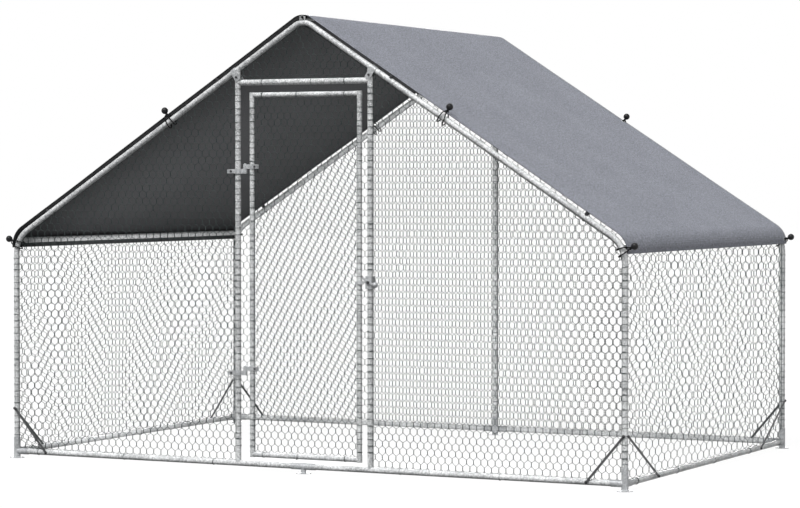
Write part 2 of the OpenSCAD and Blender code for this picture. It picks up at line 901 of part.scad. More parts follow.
// A closed loop of elastic of diameter d round the tube, reaching outwards along +X
module tie_loop(d) {
    rotate([0, 0, 90]) rotate_extrude(angle = 180) translate([tie_r, 0]) circle(d = d);
    translate([tie_straight, 0, 0]) rotate([0, 0, -90]) rotate_extrude(angle = 180)
        translate([tie_r, 0]) circle(d = d);
    for (side = [-1, 1])
        translate([0, side * tie_r, 0]) along_x() cylinder(h = tie_straight, d = d);
}

module tie_elastics() {
    color("black") at_ties() tie_loop(elastic_d);
}

// Each ball is threaded on the outer end of its loop
module tie_balls() {
    color("black") at_ties() difference() {
        translate([ball_off, 0, 0]) sphere(ball_r);
        tie_loop(elastic_d + 2 * fit_gap);
    }
}

// Door

module stile_at(x) {
    low = door_low + corner_leg + fit_gap;
    color("gainsboro") translate([x, -post_y, low]) tube(door_top - corner_leg - fit_gap - low, door_r);
}

module door_stile_hinge() {
    stile_at(hinge_stile_x);
}

module door_stile_latch() {
    stile_at(latch_stile_x);
}

module door_rail_at(z) {
    start = hinge_stile_x + corner_leg + fit_gap;
    color("gainsboro") translate([start, -post_y, z]) along_x()
        tube(latch_stile_x - corner_leg - fit_gap - start, door_r);
}

module door_rail_top() {
    door_rail_at(door_top);
}

module door_rail_bottom() {
    door_rail_at(door_low);
}

// The corner at the lower hinge side: two legs with a plug on each
module door_corner() {
    translate([0, 0, -corner_r]) cylinder(h = corner_r + corner_leg, r = corner_r);
    cylinder(h = corner_leg + corner_plug, r = plug_r);
    along_x() cylinder(h = corner_leg, r = door_r);
    along_x() cylinder(h = corner_leg + corner_plug, r = plug_r);
}

module door_corners() {
    color("silver") for (right = [0, 1], top = [0, 1])
        translate([right == 0 ? hinge_stile_x : latch_stile_x, -post_y, top == 0 ? door_low : door_top])
            mirror([right, 0, 0]) mirror([0, 0, top]) door_corner();
}

// Hinges

// A band round a tube, slit between two bolted ears that point along the angle given
module ear_clamp(turn, inner_r) {
    outer_r = inner_r + clamp_t;
    ear_w = ear_slit + 2 * clamp_t;
    reach = ear_l - tube_r + inner_r;
    difference() {
        union() {
            cylinder(h = clamp_h, r = outer_r, center = true);
            rotate([0, 0, turn]) translate([0, -ear_w / 2, ear_step - clamp_h / 2])
                cube([reach, ear_w, clamp_h - 2 * ear_step]);
            children();
        }
        cylinder(h = clamp_h + over, r = inner_r, center = true);
        rotate([0, 0, turn]) translate([0, -ear_slit / 2, -clamp_h]) cube([reach + over, ear_slit, 2 * clamp_h]);
        rotate([0, 0, turn]) translate([ear_bolt_at(inner_r), 0, 0]) along_y()
            cylinder(h = 2 * ear_w, r = bolt_r + bolt_gap, center = true);
    }
}

// Distance of an ear's bolt from the tube's axis, in the middle of the free ear
function ear_bolt_at(inner_r) = (ear_l - tube_r + 2 * inner_r + clamp_t) / 2;

module ear_bolt(turn, inner_r) {
    ear_w = ear_slit + 2 * clamp_t;
    rotate([0, 0, turn]) translate([ear_bolt_at(inner_r), -ear_w / 2, 0]) along_y() bolt_and_nut(bolt_d, ear_w);
}

// The arm and knuckle that stand out from a clamp towards the pin
module knuckle(reach) {
    translate([0, -knuckle_arm_w / 2, -clamp_h / 2]) cube([reach, knuckle_arm_w, clamp_h]);
    translate([reach, 0, 0]) cylinder(h = clamp_h, r = knuckle_r, center = true);
}

// On each hinge the jamb's clamp carries an upright pin
module hinge_pintles() {
    color("silver") for (z = hinge_places)
        translate([-jamb_x, -post_y, z]) {
            ear_clamp(180 + ear_turn, seat_r) {
                knuckle(hinge_reach);
                translate([hinge_reach, 0, 0]) cylinder(h = clamp_h / 2 + eye_rise + pin_tail, r = pin_r);
            }
        }
}

// The door's clamps have an eye that turns on the pin and rests on the knuckle below
module hinge_eyes() {
    color("silver") for (z = hinge_places)
        translate([hinge_stile_x, -post_y, z + eye_rise]) difference() {
            ear_clamp(-ear_turn, door_r + fit_gap) rotate([0, 0, 180]) knuckle(hinge_reach);
            translate([-hinge_reach, 0, 0]) cylinder(h = 2 * clamp_h, r = pin_r + pin_gap, center = true);
        }
}

module door_bolts() {
    color("dimgray") for (z = hinge_places)
        translate([hinge_stile_x, -post_y, z + eye_rise]) ear_bolt(-ear_turn, door_r + fit_gap);
}

// Latch

// The body is a sleeve on the jamb with a thick flat face for the pivot screw
module latch_body() {
    color("silver") translate([jamb_x, -post_y, latch_h - latch_body_h / 2]) difference() {
        translate([-latch_half_w, -latch_face, 0]) cube([2 * latch_half_w, latch_face + latch_half_w, latch_body_h]);
        bore(latch_body_h, seat_r);
        translate([0, -latch_face, latch_body_h / 2]) along_y()
            cylinder(h = 2 * pivot_depth, r = pivot_r + pin_gap, center = true);
    }
}

// The pivot screw: a shank through the lever into the body, and a flat head in front of the lever
module pivot_screw() {
    reach = lever_t + 2 * fit_gap;
    translate([0, -reach - pivot_head_t, 0]) along_y() cylinder(h = pivot_head_t, r = pivot_head_r);
    translate([0, -reach - over, 0]) along_y() cylinder(h = reach + over + pivot_depth - fit_gap, r = pivot_r);
}

// An arm of the lever with a round end, along +X
module lever_arm(l) {
    square_l = l - lever_w / 2;
    translate([0, -lever_w / 2]) square([square_l, lever_w]);
    translate([square_l, 0]) circle(d = lever_w);
}

// A cranked lever: its tip turns down in front of the keeper, and its tail carries the knob
module latch_lever() {
    color("silver") translate([jamb_x, -post_y - lever_back, latch_h]) {
        rotate([90, 0, 0]) linear_extrude(lever_t) difference() {
            union() {
                circle(lever_boss_r);
                rotate(180 - lever_rise) lever_arm(lever_tip);
                rotate(-lever_droop) lever_arm(lever_tail);
            }
            circle(pivot_r + pin_gap);
        }
        rotate([0, lever_droop, 0]) translate([lever_tail, -lever_t / 2, 0]) sphere(d = knob_d);
    }
}

// A band on the latch stile with a tab behind the lever's tip
module latch_keeper() {
    inner_r = door_r + fit_gap;
    outer_r = inner_r + keeper_t;
    face = lever_back - fit_gap * 2;
    low = -lever_w / 2 - fit_gap - keeper_t;
    color("silver") translate([latch_stile_x, -post_y, latch_h]) difference() {
        union() {
            translate([0, 0, low]) cylinder(h = keeper_h, r = outer_r);
            translate([0, -face, low]) cube([keeper_reach, keeper_t, keeper_h]);
            translate([0, -face, low]) cube([outer_r, face, keeper_h]);
        }
        translate([0, 0, low]) bore(keeper_h, inner_r);
    }
}

corner_foot_at(-1, -1);  // corner_foot_front_left
corner_foot_at(1, -1);  // corner_foot_front_right
corner_foot_at(-1, 1);  // corner_foot_rear_left
corner_foot_at(1, 1);  // corner_foot_rear_right
centre_foot_front();
centre_foot_rear();
front_rail_left();
front_rail_right();
rear_rail_left();
rear_rail_right();
left_rail();
right_rail();
corner_post_at(-1, -1);  // post_front_left
corner_post_at(1, -1);  // post_front_right
corner_post_at(-1, 1);  // post_rear_left
corner_post_at(1, 1);  // post_rear_right
rear_centre_post();
eave_elbow_at(-1, -1);  // eave_elbow_front_left
eave_elbow_at(1, -1);  // eave_elbow_front_right
eave_elbow_at(-1, 1);  // eave_elbow_rear_left
eave_elbow_at(1, 1);  // eave_elbow_rear_right
rafter_at(-1, -1);  // rafter_front_left
rafter_at(1, -1);  // rafter_front_right
rafter_at(-1, 1);  // rafter_rear_left
rafter_at(1, 1);  // rafter_rear_right
ridge_elbow_front();
ridge_elbow_rear();
eave_rail_left();
eave_rail_right();
ridge_rail();
hinge_jamb();
latch_jamb();
door_header();
jamb_straps();
corner_braces();
joint_bolts();
frame_bolts();
net_front_left();
net_front_right();
net_gable();
net_left();
net_right();
net_rear_left();
net_rear_right();
roof_cover();
tie_balls();
tie_elastics();
hinge_pintles();
latch_body();
latch_lever();
door_stile_hinge();
door_stile_latch();
door_rail_top();
door_rail_bottom();
door_corners();
net_door();
hinge_eyes();
latch_keeper();
door_bolts();
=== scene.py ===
"""Looks of a walk-in chicken run: tube frame, wire netting, lacing, door, latch, roof cover and ball ties.

Every length is in metres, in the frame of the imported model: +Z up, with the door in the front gable, which
faces -Y.
"""

import json
import logging
import math
from dataclasses import dataclass, field
from enum import Enum

import bpy
import numpy as np
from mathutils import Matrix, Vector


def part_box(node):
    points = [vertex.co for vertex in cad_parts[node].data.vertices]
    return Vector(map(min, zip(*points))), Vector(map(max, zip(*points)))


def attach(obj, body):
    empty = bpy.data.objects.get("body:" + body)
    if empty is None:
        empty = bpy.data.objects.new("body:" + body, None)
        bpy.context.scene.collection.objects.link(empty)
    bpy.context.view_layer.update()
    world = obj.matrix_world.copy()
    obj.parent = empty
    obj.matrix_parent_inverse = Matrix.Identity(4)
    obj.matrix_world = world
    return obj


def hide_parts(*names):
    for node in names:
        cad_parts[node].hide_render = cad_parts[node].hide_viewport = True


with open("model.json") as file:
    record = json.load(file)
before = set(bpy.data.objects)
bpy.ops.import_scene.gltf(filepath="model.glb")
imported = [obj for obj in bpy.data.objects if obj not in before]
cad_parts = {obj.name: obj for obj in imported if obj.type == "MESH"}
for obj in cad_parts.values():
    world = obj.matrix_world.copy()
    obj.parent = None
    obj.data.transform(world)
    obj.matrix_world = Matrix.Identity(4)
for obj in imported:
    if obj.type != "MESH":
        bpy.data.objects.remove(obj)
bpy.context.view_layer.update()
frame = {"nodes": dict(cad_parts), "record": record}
FRONT, REAR = -1, 1
LEFT, RIGHT = -1, 1
EAST, NORTH, UP = np.eye(3)
# No path that is swept starts in this direction.
SKEW = np.array([0.31, 0.55, 0.78])
Span = tuple[float, float]
Triple = tuple[float, float, float]
TieRay = tuple[np.ndarray, np.ndarray, float]
log = logging.getLogger("chicken_run")


# Sizes


def middle(node: str) -> np.ndarray:
    """Returns the middle of a CAD node's box."""
    low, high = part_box(node)
    return (np.array(low) + np.array(high)) / 2


def half_size(node: str) -> np.ndarray:
    """Returns half the size of a CAD node's box."""
    low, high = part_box(node)
    return (np.array(high) - np.array(low)) / 2


@dataclass(frozen=True)
class RunSizes:
    """Main places and sizes of the run, read from the frame."""

    pitch: float = math.radians(32.7)
    ridge_bend: float = 0.075
    eave_bend: float = 0.130
    fit_gap: float = 0.0003
    brace_z: float = 0.224
    brace_reach_front: float = 0.165
    brace_reach_left: float = 0.240
    brace_reach_right: float = 0.340
    brace_t: float = 0.003
    sleeve_top: float = 0.095
    post_x: float = field(default_factory=lambda: middle("post_front_right")[0])
    post_y: float = field(default_factory=lambda: middle("post_rear_right")[1])
    tube_r: float = field(default_factory=lambda: half_size("post_front_right")[0])
    rail_z: float = field(default_factory=lambda: middle("right_rail")[2])
    jamb_x: float = field(default_factory=lambda: middle("latch_body")[0])
    header_z: float = field(default_factory=lambda: middle("door_header")[2])
    door_r: float = field(default_factory=lambda: half_size("door_stile_hinge")[0])
    hinge_stile_x: float = field(default_factory=lambda: middle("door_stile_hinge")[0])
    latch_stile_x: float = field(default_factory=lambda: middle("door_stile_latch")[0])
    door_low_z: float = field(default_factory=lambda: middle("door_rail_bottom")[2])
    door_top_z: float = field(default_factory=lambda: middle("door_rail_top")[2])
    ridge_rail_low: float = field(default_factory=lambda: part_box("ridge_rail")[0][2])

    @property
    def bend(self) -> float:
        """Angle through which an eave elbow turns."""
        return math.pi / 2 - self.pitch

    @property
    def ridge_centre_z(self) -> float:
        """Height of the centre of the ridge elbows' bend."""
        return self.ridge_rail_low - self.fit_gap - self.tube_r - self.ridge_bend

    @property
    def apex_z(self) -> float:
        """Height at which the two slopes' axes meet."""
        return self.ridge_centre_z + self.ridge_bend / math.cos(self.pitch)

    @property
    def elbow_x(self) -> float:
        """Distance of an eave elbow's bend centre from the middle."""
        return self.post_x - self.eave_bend

    @property
    def elbow_z(self) -> float:
        """Height of an eave elbow's bend centre."""
        meet = self.slope_z(self.post_x)
        return meet - self.eave_bend * math.tan(self.bend / 2)

    def slope_z(self, x: float) -> float:
        """Returns the height of the rafters' axis at a distance x from the middle."""
        return self.apex_z - abs(x) * math.tan(self.pitch)

    def gable_outline(self, edge: float) -> np.ndarray:
        """Outline of a gable inside its posts and rafters, anticlockwise in (x, z).

        Args:
            edge: Distance kept from the tubes' axes.

        Returns:
            Points of the outline, from the lower right corner round to the lower left.
        """
        steps = 8
        eave = np.linspace(0, self.bend, steps)
        ridge = np.linspace(self.bend, math.pi / 2, steps)
        right = [[self.post_x - edge, 0.0]]
        for angles, centre, radius in (
            (eave, (self.elbow_x, self.elbow_z), self.eave_bend - edge),
            (ridge, (0.0, self.ridge_centre_z), self.ridge_bend - edge),
        ):
            right += [[centre[0] + radius * math.cos(a), centre[1] + radius * math.sin(a)] for a in angles]
        right = np.array(right)
        left = right[-2::-1] * [-1, 1]
        return np.concatenate([right, left])


# Mesh helpers


def ring_quads(items: int, rings: int, sides: int) -> np.ndarray:
    """Faces of many tubes whose vertices run tube by tube, ring by ring and side by side.

    Args:
        items: Number of tubes.
        rings: Rings in each tube.
        sides: Vertices in each ring.

    Returns:
        One row of four vertex numbers per face.
    """
    ring = np.arange(rings - 1)[:, None] * sides
    side = np.arange(sides)[None, :]
    after = (side + 1) % sides
    quads = np.stack([ring + side, ring + after, ring + sides + after, ring + sides + side], axis=-1)
    return (quads.reshape(1, -1, 4) + np.arange(items)[:, None, None] * rings * sides).reshape(-1, 4)


def ring_caps(items: int, rings: int, sides: int) -> np.ndarray:
    """End faces of the tubes that ring_quads joins.

    Args:
        items: Number of tubes.
        rings: Rings in each tube.
        sides: Vertices in each ring.

    Returns:
        One row of vertex numbers per end face.
    """
    first = np.arange(sides)[::-1]
    last = np.arange(sides) + (rings - 1) * sides
    caps = np.stack([first, last])
    return (caps[None] + np.arange(items)[:, None, None] * rings * sides).reshape(-1, sides)


def unit(vectors: np.ndarray) -> np.ndarray:
    """Returns the vectors scaled to a length of one."""
    return vectors / np.maximum(np.linalg.norm(vectors, axis=-1, keepdims=True), 1e-12)


def around(count: int) -> np.ndarray:
    """Returns even angles round a full turn."""
    return 2 * math.pi * np.arange(count) / count


def spokes(angles: np.ndarray, first: np.ndarray, second: np.ndarray) -> np.ndarray:
    """Returns the direction at each angle, which is first at zero and second at a right angle."""
    return np.cos(angles)[..., None] * first + np.sin(angles)[..., None] * second


def square_pair(axis: np.ndarray) -> tuple[np.ndarray, np.ndarray]:
    """Finds two directions that are square to an axis and to each other.

    Args:
        axis: The axis, of length one.

    Returns:
        The two directions.
    """
    mostly = 0.9
    helper = NORTH if abs(axis[1]) < mostly else EAST
    first = unit(np.cross(helper, axis))
    return first, np.cross(axis, first)


def smooth_path(points: np.ndarray, steps: int) -> np.ndarray:
    """Rounds a path that passes through the points given.

    Args:
        points: Places on the path.
        steps: New points on each stretch.

    Returns:
        Points of a Catmull-Rom curve through the places.
    """
    ends = np.concatenate([[2 * points[0] - points[1]], points, [2 * points[-1] - points[-2]]])
    path = []
    for a, b, c, d in zip(ends, ends[1:], ends[2:], ends[3:]):
        for t in np.arange(steps) / steps:
            path.append(0.5 * (2 * b + (c - a) * t + (2 * a - 5 * b + 4 * c - d) * t**2
                               + (3 * b - a - 3 * c + d) * t**3))
    return np.array(path + [points[-1]])


class MeshDraft:
    """Gathers the vertices and faces of one piece before its mesh is made."""

    def __init__(self) -> None:
        """Starts with nothing drawn."""
        self.points: list[np.ndarray] = []
        self.faces: list[np.ndarray] = []
        self.marks: list[np.ndarray] = []
        self.count = 0

    def add(self, points: np.ndarray, *faces: np.ndarray, marks: tuple[int, ...] = ()) -> None:
        """Adds a shape.

        Args:
            points: Its vertices.
            faces: Arrays of faces, whose vertex numbers start at zero.
            marks: Number of the material that each array wears, or nothing where all wear the first.
        """
        points = np.asarray(points, float).reshape(-1, 3)
        self.points.append(points)
        for group, mark in zip(faces, marks or (0,) * len(faces)):
            self.faces.append(group + self.count)
            self.marks.append(np.full(len(group), mark))
        self.count += len(points)

    def add_tubes(self, points: np.ndarray, capped: bool = True) -> None:
        """Adds many tubes.

        Args:
            points: Vertices, by tube, ring, side and axis.
            capped: Whether the ends are closed.
        """
        items, rings, sides = points.shape[:3]
        faces = [ring_quads(items, rings, sides)]
        if capped:
            faces.append(ring_caps(items, rings, sides))
        self.add(points, *faces)

    def add_bars(self, starts: np.ndarray, ends: np.ndarray, normal: np.ndarray, radius: float,
                 sides: int) -> None:
        """Adds many straight bars.

        Args:
            starts: First end of each.
            ends: Second end of each.
            normal: A direction square to all of them.
            radius: Radius of the bars.
            sides: Number of sides.
        """
        along = unit(ends - starts)
        across = np.cross(np.broadcast_to(normal, along.shape), along)
        ring = radius * spokes(around(sides), across[:, None], normal)
        self.add_tubes(np.stack([starts[:, None] + ring, ends[:, None] + ring], axis=1))

    def add_sweep(self, path: np.ndarray, radius: float, sides: int, closed: bool = False) -> None:
        """Adds a round bar along a path.

        Args:
            path: Points of its axis.
            radius: Radius of the bar.
            sides: Number of sides.
            closed: Whether the path ends where it starts.
        """
        if closed:
            ahead, behind = np.roll(path, -1, axis=0), np.roll(path, 1, axis=0)
        else:
            ahead, behind = np.concatenate([path[1:], path[-1:]]), np.concatenate([path[:1], path[:-1]])
        along = unit(ahead - behind)
        sideways = [unit(np.cross(along[0], SKEW))]
        for direction in along[1:]:
            last = sideways[-1]
            sideways.append(unit(last - direction * np.dot(last, direction)))
        first = np.array(sideways)
        ring = radius * spokes(around(sides), first[:, None], np.cross(along, first)[:, None])
        points = (path[:, None] + ring)[None]
        if closed:
            points = np.concatenate([points, points[:, :1]], axis=1)
        self.add_tubes(points, capped=not closed)

    def add_lathe(self, profile: np.ndarray, place: np.ndarray, axis: np.ndarray, sides: int) -> None:
        """Adds a turned shape.

        Args:
            profile: Rows of radius and height, from the base to the top, both on or near the axis.
            place: Where the axis starts.
            axis: Direction of the axis.
            sides: Number of sides.
        """
        axis = unit(np.asarray(axis, float))
        spoke = spokes(around(sides), *square_pair(axis))
        points = place + profile[:, 0, None, None] * spoke[None] + profile[:, 1, None, None] * axis
        self.add_tubes(points[None])

    def finish(self, name: str, body: str, slot: str, materials: list[bpy.types.Material],
               bake_axes: np.ndarray | None = None) -> bpy.types.Object:
        """Makes the piece, dresses it and sets it on its body.

        Args:
            name: Name of the piece.
            body: Body that it moves with.
            slot: Slot of the record for the piece; not used.
            materials: Its materials, in the order of the marks.
            bake_axes: Two directions that lay its map out flat, for pieces made of thousands of wires.

        Returns:
            The new object.
        """
        points = np.concatenate(self.points)
        sizes = np.concatenate([np.full(len(group), group.shape[1]) for group in self.faces])
        corners = np.concatenate([group.ravel() for group in self.faces])
        starts = np.concatenate([[0], np.cumsum(sizes)[:-1]])
        mesh = bpy.data.meshes.new(name)
        mesh.vertices.add(len(points))
        mesh.vertices.foreach_set("co", points.astype(np.float32).ravel())
        mesh.loops.add(len(corners))
        mesh.loops.foreach_set("vertex_index", corners.astype(np.int32))
        mesh.polygons.add(len(sizes))
        mesh.polygons.foreach_set("loop_start", starts.astype(np.int32))
        mesh.polygons.foreach_set("material_index", np.concatenate(self.marks).astype(np.int32))
        mesh.polygons.foreach_set("use_smooth", np.ones(len(sizes), bool))
        mesh.update(calc_edges=True)
        mesh.validate()
        for material in materials:
            mesh.materials.append(material)
        if bake_axes is not None:
            flat = np.stack([points @ bake_axes[0], points @ bake_axes[1]], axis=1)
            flat = (flat - flat.min(axis=0)) / np.ptp(flat, axis=0).max()
            layer = mesh.uv_layers.new(name="OFBake")
            layer.data.foreach_set("uv", flat[corners].astype(np.float32).ravel())
        piece = bpy.data.objects.new(name, mesh)
        bpy.context.scene.collection.objects.link(piece)
        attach(piece, body)
        log.info("%s: %d faces on body %s", name, len(sizes), body)
        return piece


# Finishes


class NodeBoard:
    """A node tree that starts empty, with short ways to add to it."""

    def __init__(self, tree: bpy.types.NodeTree) -> None:
        """Empties the tree, which is a material's or the world's."""
        self.tree = tree
        tree.nodes.clear()

    def fill(self, socket: bpy.types.NodeSocket, value: object) -> None:
        """Links an input to an output, or sets it to a value.

        Args:
            socket: The input.
            value: The output or the value.
        """
        if isinstance(value, bpy.types.NodeSocket):
            self.tree.links.new(value, socket)
        else:
            socket.default_value = value

    def add(self, kind: str, *values: object, **settings: object) -> bpy.types.Node:
        """Adds a node.

        Args:
            kind: Blender's name of the node.
            values: A value or an output for each of its first inputs, in their order.
            settings: Attributes of the node and their values.

        Returns:
            The node.
        """
        node = self.tree.nodes.new(kind)
        for key, value in settings.items():
            setattr(node, key, value)
        for socket, value in zip(node.inputs, values):
            self.fill(socket, value)
        return node

    def feed(self, node: bpy.types.Node, **inputs: object) -> bpy.types.Node:
        """Sets or links a node's inputs by name.

        Args:
            node: The node.
            inputs: Names of inputs, with underscores for spaces, and a value or an output for each.

        Returns:
            The same node.
        """
        for key, value in inputs.items():
            self.fill(node.inputs[key.replace("_", " ")], value)
        return node

    def combine(self, operation: str, one: object, other: object) -> bpy.types.NodeSocket:
        """Returns the result of a named operation on two values or outputs."""
        return self.add("ShaderNodeMath", one, other, operation=operation).outputs[0]

    def weigh(self, *parts: tuple[bpy.types.NodeSocket, float]) -> bpy.types.NodeSocket:
        """Adds outputs up, each times its weight.

        Args:
            parts: The outputs and their weights.

        Returns:
            The sum.
        """
        weighed = [self.combine("MULTIPLY", value, weight) for value, weight in parts]
        total = weighed[0]
        for part in weighed[1:]:
            total = self.combine("ADD", total, part)
        return total

    def seen_directly(self) -> bpy.types.NodeSocket:
        """Adds a value that is 1 for the camera, mirror and clear rays, and 0 for the light that bounces.

        Returns:
            The value.
        """
        path = self.add("ShaderNodeLightPath")
        total = path.outputs["Is Camera Ray"]
        for name in ("Is Glossy Ray", "Is Transmission Ray"):
            total = self.combine("MAXIMUM", total, path.outputs[name])
        return total


class Shader(NodeBoard):
    """A new material round a Principled shader, with the patterns that the finishes are made of."""

    def __init__(self, name: str) -> None:
        """Makes the material and its coordinates node.

        Args:
            name: Name of the material.
        """
        self.material = bpy.data.materials.new(name)
        self.material.use_nodes = True
        super().__init__(self.material.node_tree)
        self.body = self.add("ShaderNodeBsdfPrincipled")
        self.add("ShaderNodeOutputMaterial", self.body.outputs[0])
        self.places = self.add("ShaderNodeTexCoord").outputs["Object"]

    def noise(self, scale: float, detail: float) -> bpy.types.NodeSocket:
        """Returns cloudy noise with scale clouds in a metre, and detail octaves of finer ones."""
        node = self.add("ShaderNodeTexNoise")
        return self.feed(node, Vector=self.places, Scale=scale, Detail=detail).outputs[0]

    def crystals(self, scale: float) -> bpy.types.NodeSocket:
        """Returns a grey of its own for each crystal, of which there are scale in a metre."""
        node = self.feed(self.add("ShaderNodeTexVoronoi"), Vector=self.places, Scale=scale)
        return self.add("ShaderNodeRGBToBW", node.outputs["Color"]).outputs[0]

    def threads(self, direction: str, scale: float, wobble: float) -> bpy.types.NodeSocket:
        """Returns wobbly stripes across one axis, of which there are about six in each unit of scale."""
        node = self.add("ShaderNodeTexWave", bands_direction=direction)
        return self.feed(node, Vector=self.places, Scale=scale, Distortion=wobble).outputs["Fac"]

    def blend(self, factor: bpy.types.NodeSocket, dark: Triple, light: Triple,
              span: Span = (0.3, 0.7)) -> bpy.types.NodeSocket:
        """Colours a value.

        Args:
            factor: The value.
            dark: Colour at and under the low end of the span.
            light: Colour at and over its high end.
            span: Where the change starts and ends.

        Returns:
            The colour.
        """
        node = self.add("ShaderNodeValToRGB", factor)
        for stop, place, colour in zip(node.color_ramp.elements, span, (dark, light)):
            stop.position, stop.color = place, (*colour, 1.0)
        return node.outputs["Color"]

    def grey(self, factor: bpy.types.NodeSocket, levels: Span,
             span: Span = (0.3, 0.7)) -> bpy.types.NodeSocket:
        """Returns a grey that goes from one level to another over the span of a value."""
        return self.blend(factor, (levels[0],) * 3, (levels[1],) * 3, span)

    def relief(self, height: bpy.types.NodeSocket, distance: float, strength: float) -> None:
        """Roughens the surface.

        Args:
            height: The value that gives the height.
            distance: Height of the relief.
            strength: How strongly it shows.
        """
        node = self.feed(self.add("ShaderNodeBump"), Height=height, Distance=distance, Strength=strength)
        self.feed(self.body, Normal=node.outputs[0])


@dataclass(frozen=True)
class Finish:
    """What every finish has: its name and the two colours that it wanders between.

    The finishes give a noise as its scale and detail, and a relief as its height and strength.
    """

    name: str
    dark: Triple
    light: Triple


@dataclass(frozen=True)
class Galvanised(Finish):
    """Zinc-dipped steel: crystals, soft patches and a fine skin."""

    metal: float
    roughness: Span
    crystals: float = 190.0
    gloss: float = 0.03
    patches: Span = (9.0, 4.0)
    skin: Span = (420.0, 2.0)
    crystal_share: float = 0.45
    crystal_lift: float = 0.6
    tone_span: Span = (0.33, 0.67)
    skin_span: Span = (0.25, 0.75)
    relief: Span = (0.00012, 0.6)

    def material(self) -> bpy.types.Material:
        """Mixes the finish.

        Returns:
            A new material.
        """
        shader = Shader(self.name)
        spangle, skin = shader.crystals(self.crystals), shader.noise(*self.skin)
        patches = shader.noise(*self.patches)
        tone = shader.weigh((spangle, self.crystal_share), (patches, 1 - self.crystal_share))
        shader.feed(shader.body, Base_Color=shader.blend(tone, self.dark, self.light, self.tone_span),
                    Roughness=shader.grey(skin, self.roughness, self.skin_span), Metallic=self.metal,
                    Specular_IOR_Level=self.gloss)
        shader.relief(shader.weigh((skin, 1.0), (spangle, self.crystal_lift)), *self.relief)
        return shader.material


@dataclass(frozen=True)
class DarkPaint(Finish):
    """Sprayed paint on strap steel, with a light orange peel and dusty patches."""

    roughness: Span = (0.38, 0.6)
    peel: Span = (600.0, 2.0)
    dust: Span = (25.0, 5.0)
    dust_span: Span = (0.35, 0.75)
    relief: Span = (0.0001, 0.5)

    def material(self) -> bpy.types.Material:
        """Mixes the finish.

        Returns:
            A new material.
        """
        shader = Shader(self.name)
        dust = shader.noise(*self.dust)
        shader.feed(shader.body, Base_Color=shader.blend(dust, self.dark, self.light, self.dust_span),
                    Roughness=shader.grey(dust, self.roughness))
        shader.relief(shader.noise(*self.peel), *self.relief)
        return shader.material


@dataclass(frozen=True)
class DrawnWire(Finish):
    """Dull drawn wire, whose tone wanders along its length."""

    roughness: Span = (0.5, 0.7)
    gloss: float = 0.08
    tone: Span = (14.0, 3.0)
    fine: Span = (900.0, 1.0)
    relief: Span = (0.00008, 0.4)

    def material(self) -> bpy.types.Material:
        """Mixes the finish.

        Returns:
            A new material.
        """
        shader = Shader(self.name)
        tone, fine = shader.noise(*self.tone), shader.noise(*self.fine)
        shader.feed(shader.body, Base_Color=shader.blend(tone, self.dark, self.light),
                    Roughness=shader.grey(fine, self.roughness), Specular_IOR_Level=self.gloss)
        shader.relief(fine, *self.relief)
        return shader.material


class ClothFace(Enum):
    """The two faces of the cover's cloth, with the numbers of their materials."""

    OUTSIDE = 0
    INSIDE = 1


@dataclass(frozen=True)
class CoatedCloth(Finish):
    """Coated woven cloth: crossed threads, a mottled coating and faint clouds of tone."""

    gloss: float
    sheen: float
    roughness: Span = (0.55, 0.78)
    threads: float = 95.0
    wobble: float = 0.6
    grain: Span = (150.0, 4.0)
    cloud: Span = (5.0, 4.0)
    grain_share: float = 0.8
    weave_share: float = 0.12
    grain_lift: float = 0.5
    tone_span: Span = (0.34, 0.60)
    relief: Span = (0.00025, 0.5)

    def material(self) -> bpy.types.Material:
        """Mixes the finish.

        Returns:
            A new material.
        """
        shader = Shader(self.name)
        warp, weft = (shader.threads(direction, self.threads, self.wobble) for direction in "XY")
        weave, grain = shader.combine("MULTIPLY", warp, weft), shader.noise(*self.grain)
        cloud_share = 1 - self.grain_share - self.weave_share
        tone = shader.weigh((grain, self.grain_share), (weave, self.weave_share),
                            (shader.noise(*self.cloud), cloud_share))
        shader.feed(shader.body, Base_Color=shader.blend(tone, self.dark, self.light, self.tone_span),
                    Roughness=shader.grey(grain, self.roughness), Sheen_Weight=self.sheen,
                    Specular_IOR_Level=self.gloss)
        shader.relief(shader.weigh((weave, 1.0), (grain, self.grain_lift)), *self.relief)
        return shader.material


@dataclass(frozen=True)
class MouldedPlastic(Finish):
    """Glossy moulded plastic with a faint flow pattern."""

    roughness: Span = (0.3, 0.44)
    gloss: float = 0.2
    flow: Span = (120.0, 3.0)
    skin: Span = (500.0, 3.0)
    relief: Span = (0.00006, 0.3)

    def material(self) -> bpy.types.Material:
        """Mixes the finish.

        Returns:
            A new material.
        """
        shader = Shader(self.name)
        flow = shader.noise(*self.flow)
        shader.feed(shader.body, Base_Color=shader.blend(flow, self.dark, self.light),
                    Roughness=shader.grey(flow, self.roughness), Specular_IOR_Level=self.gloss)
        shader.relief(shader.noise(*self.skin), *self.relief)
        return shader.material


@dataclass(frozen=True)
class BraidedSheath(Finish):
    """The braided sheath of an elastic cord."""

    roughness: Span = (0.6, 0.85)
    gloss: float = 0.1
    strands: float = 150.0
    wobble: float = 1.0
    fuzz: Span = (1500.0, 2.0)
    braid_span: Span = (0.1, 0.6)
    relief: Span = (0.0004, 0.8)

    def material(self) -> bpy.types.Material:
        """Mixes the finish.

        Returns:
            A new material.
        """
        shader = Shader(self.name)
        strands = [shader.threads(direction, self.strands, self.wobble) for direction in ("DIAGONAL", "Z")]
        braid = shader.combine("MULTIPLY", *strands)
        shader.feed(shader.body, Base_Color=shader.blend(braid, self.dark, self.light, self.braid_span),
                    Roughness=shader.grey(shader.noise(*self.fuzz), self.roughness),
                    Specular_IOR_Level=self.gloss)
        shader.relief(braid, *self.relief)
        return shader.material


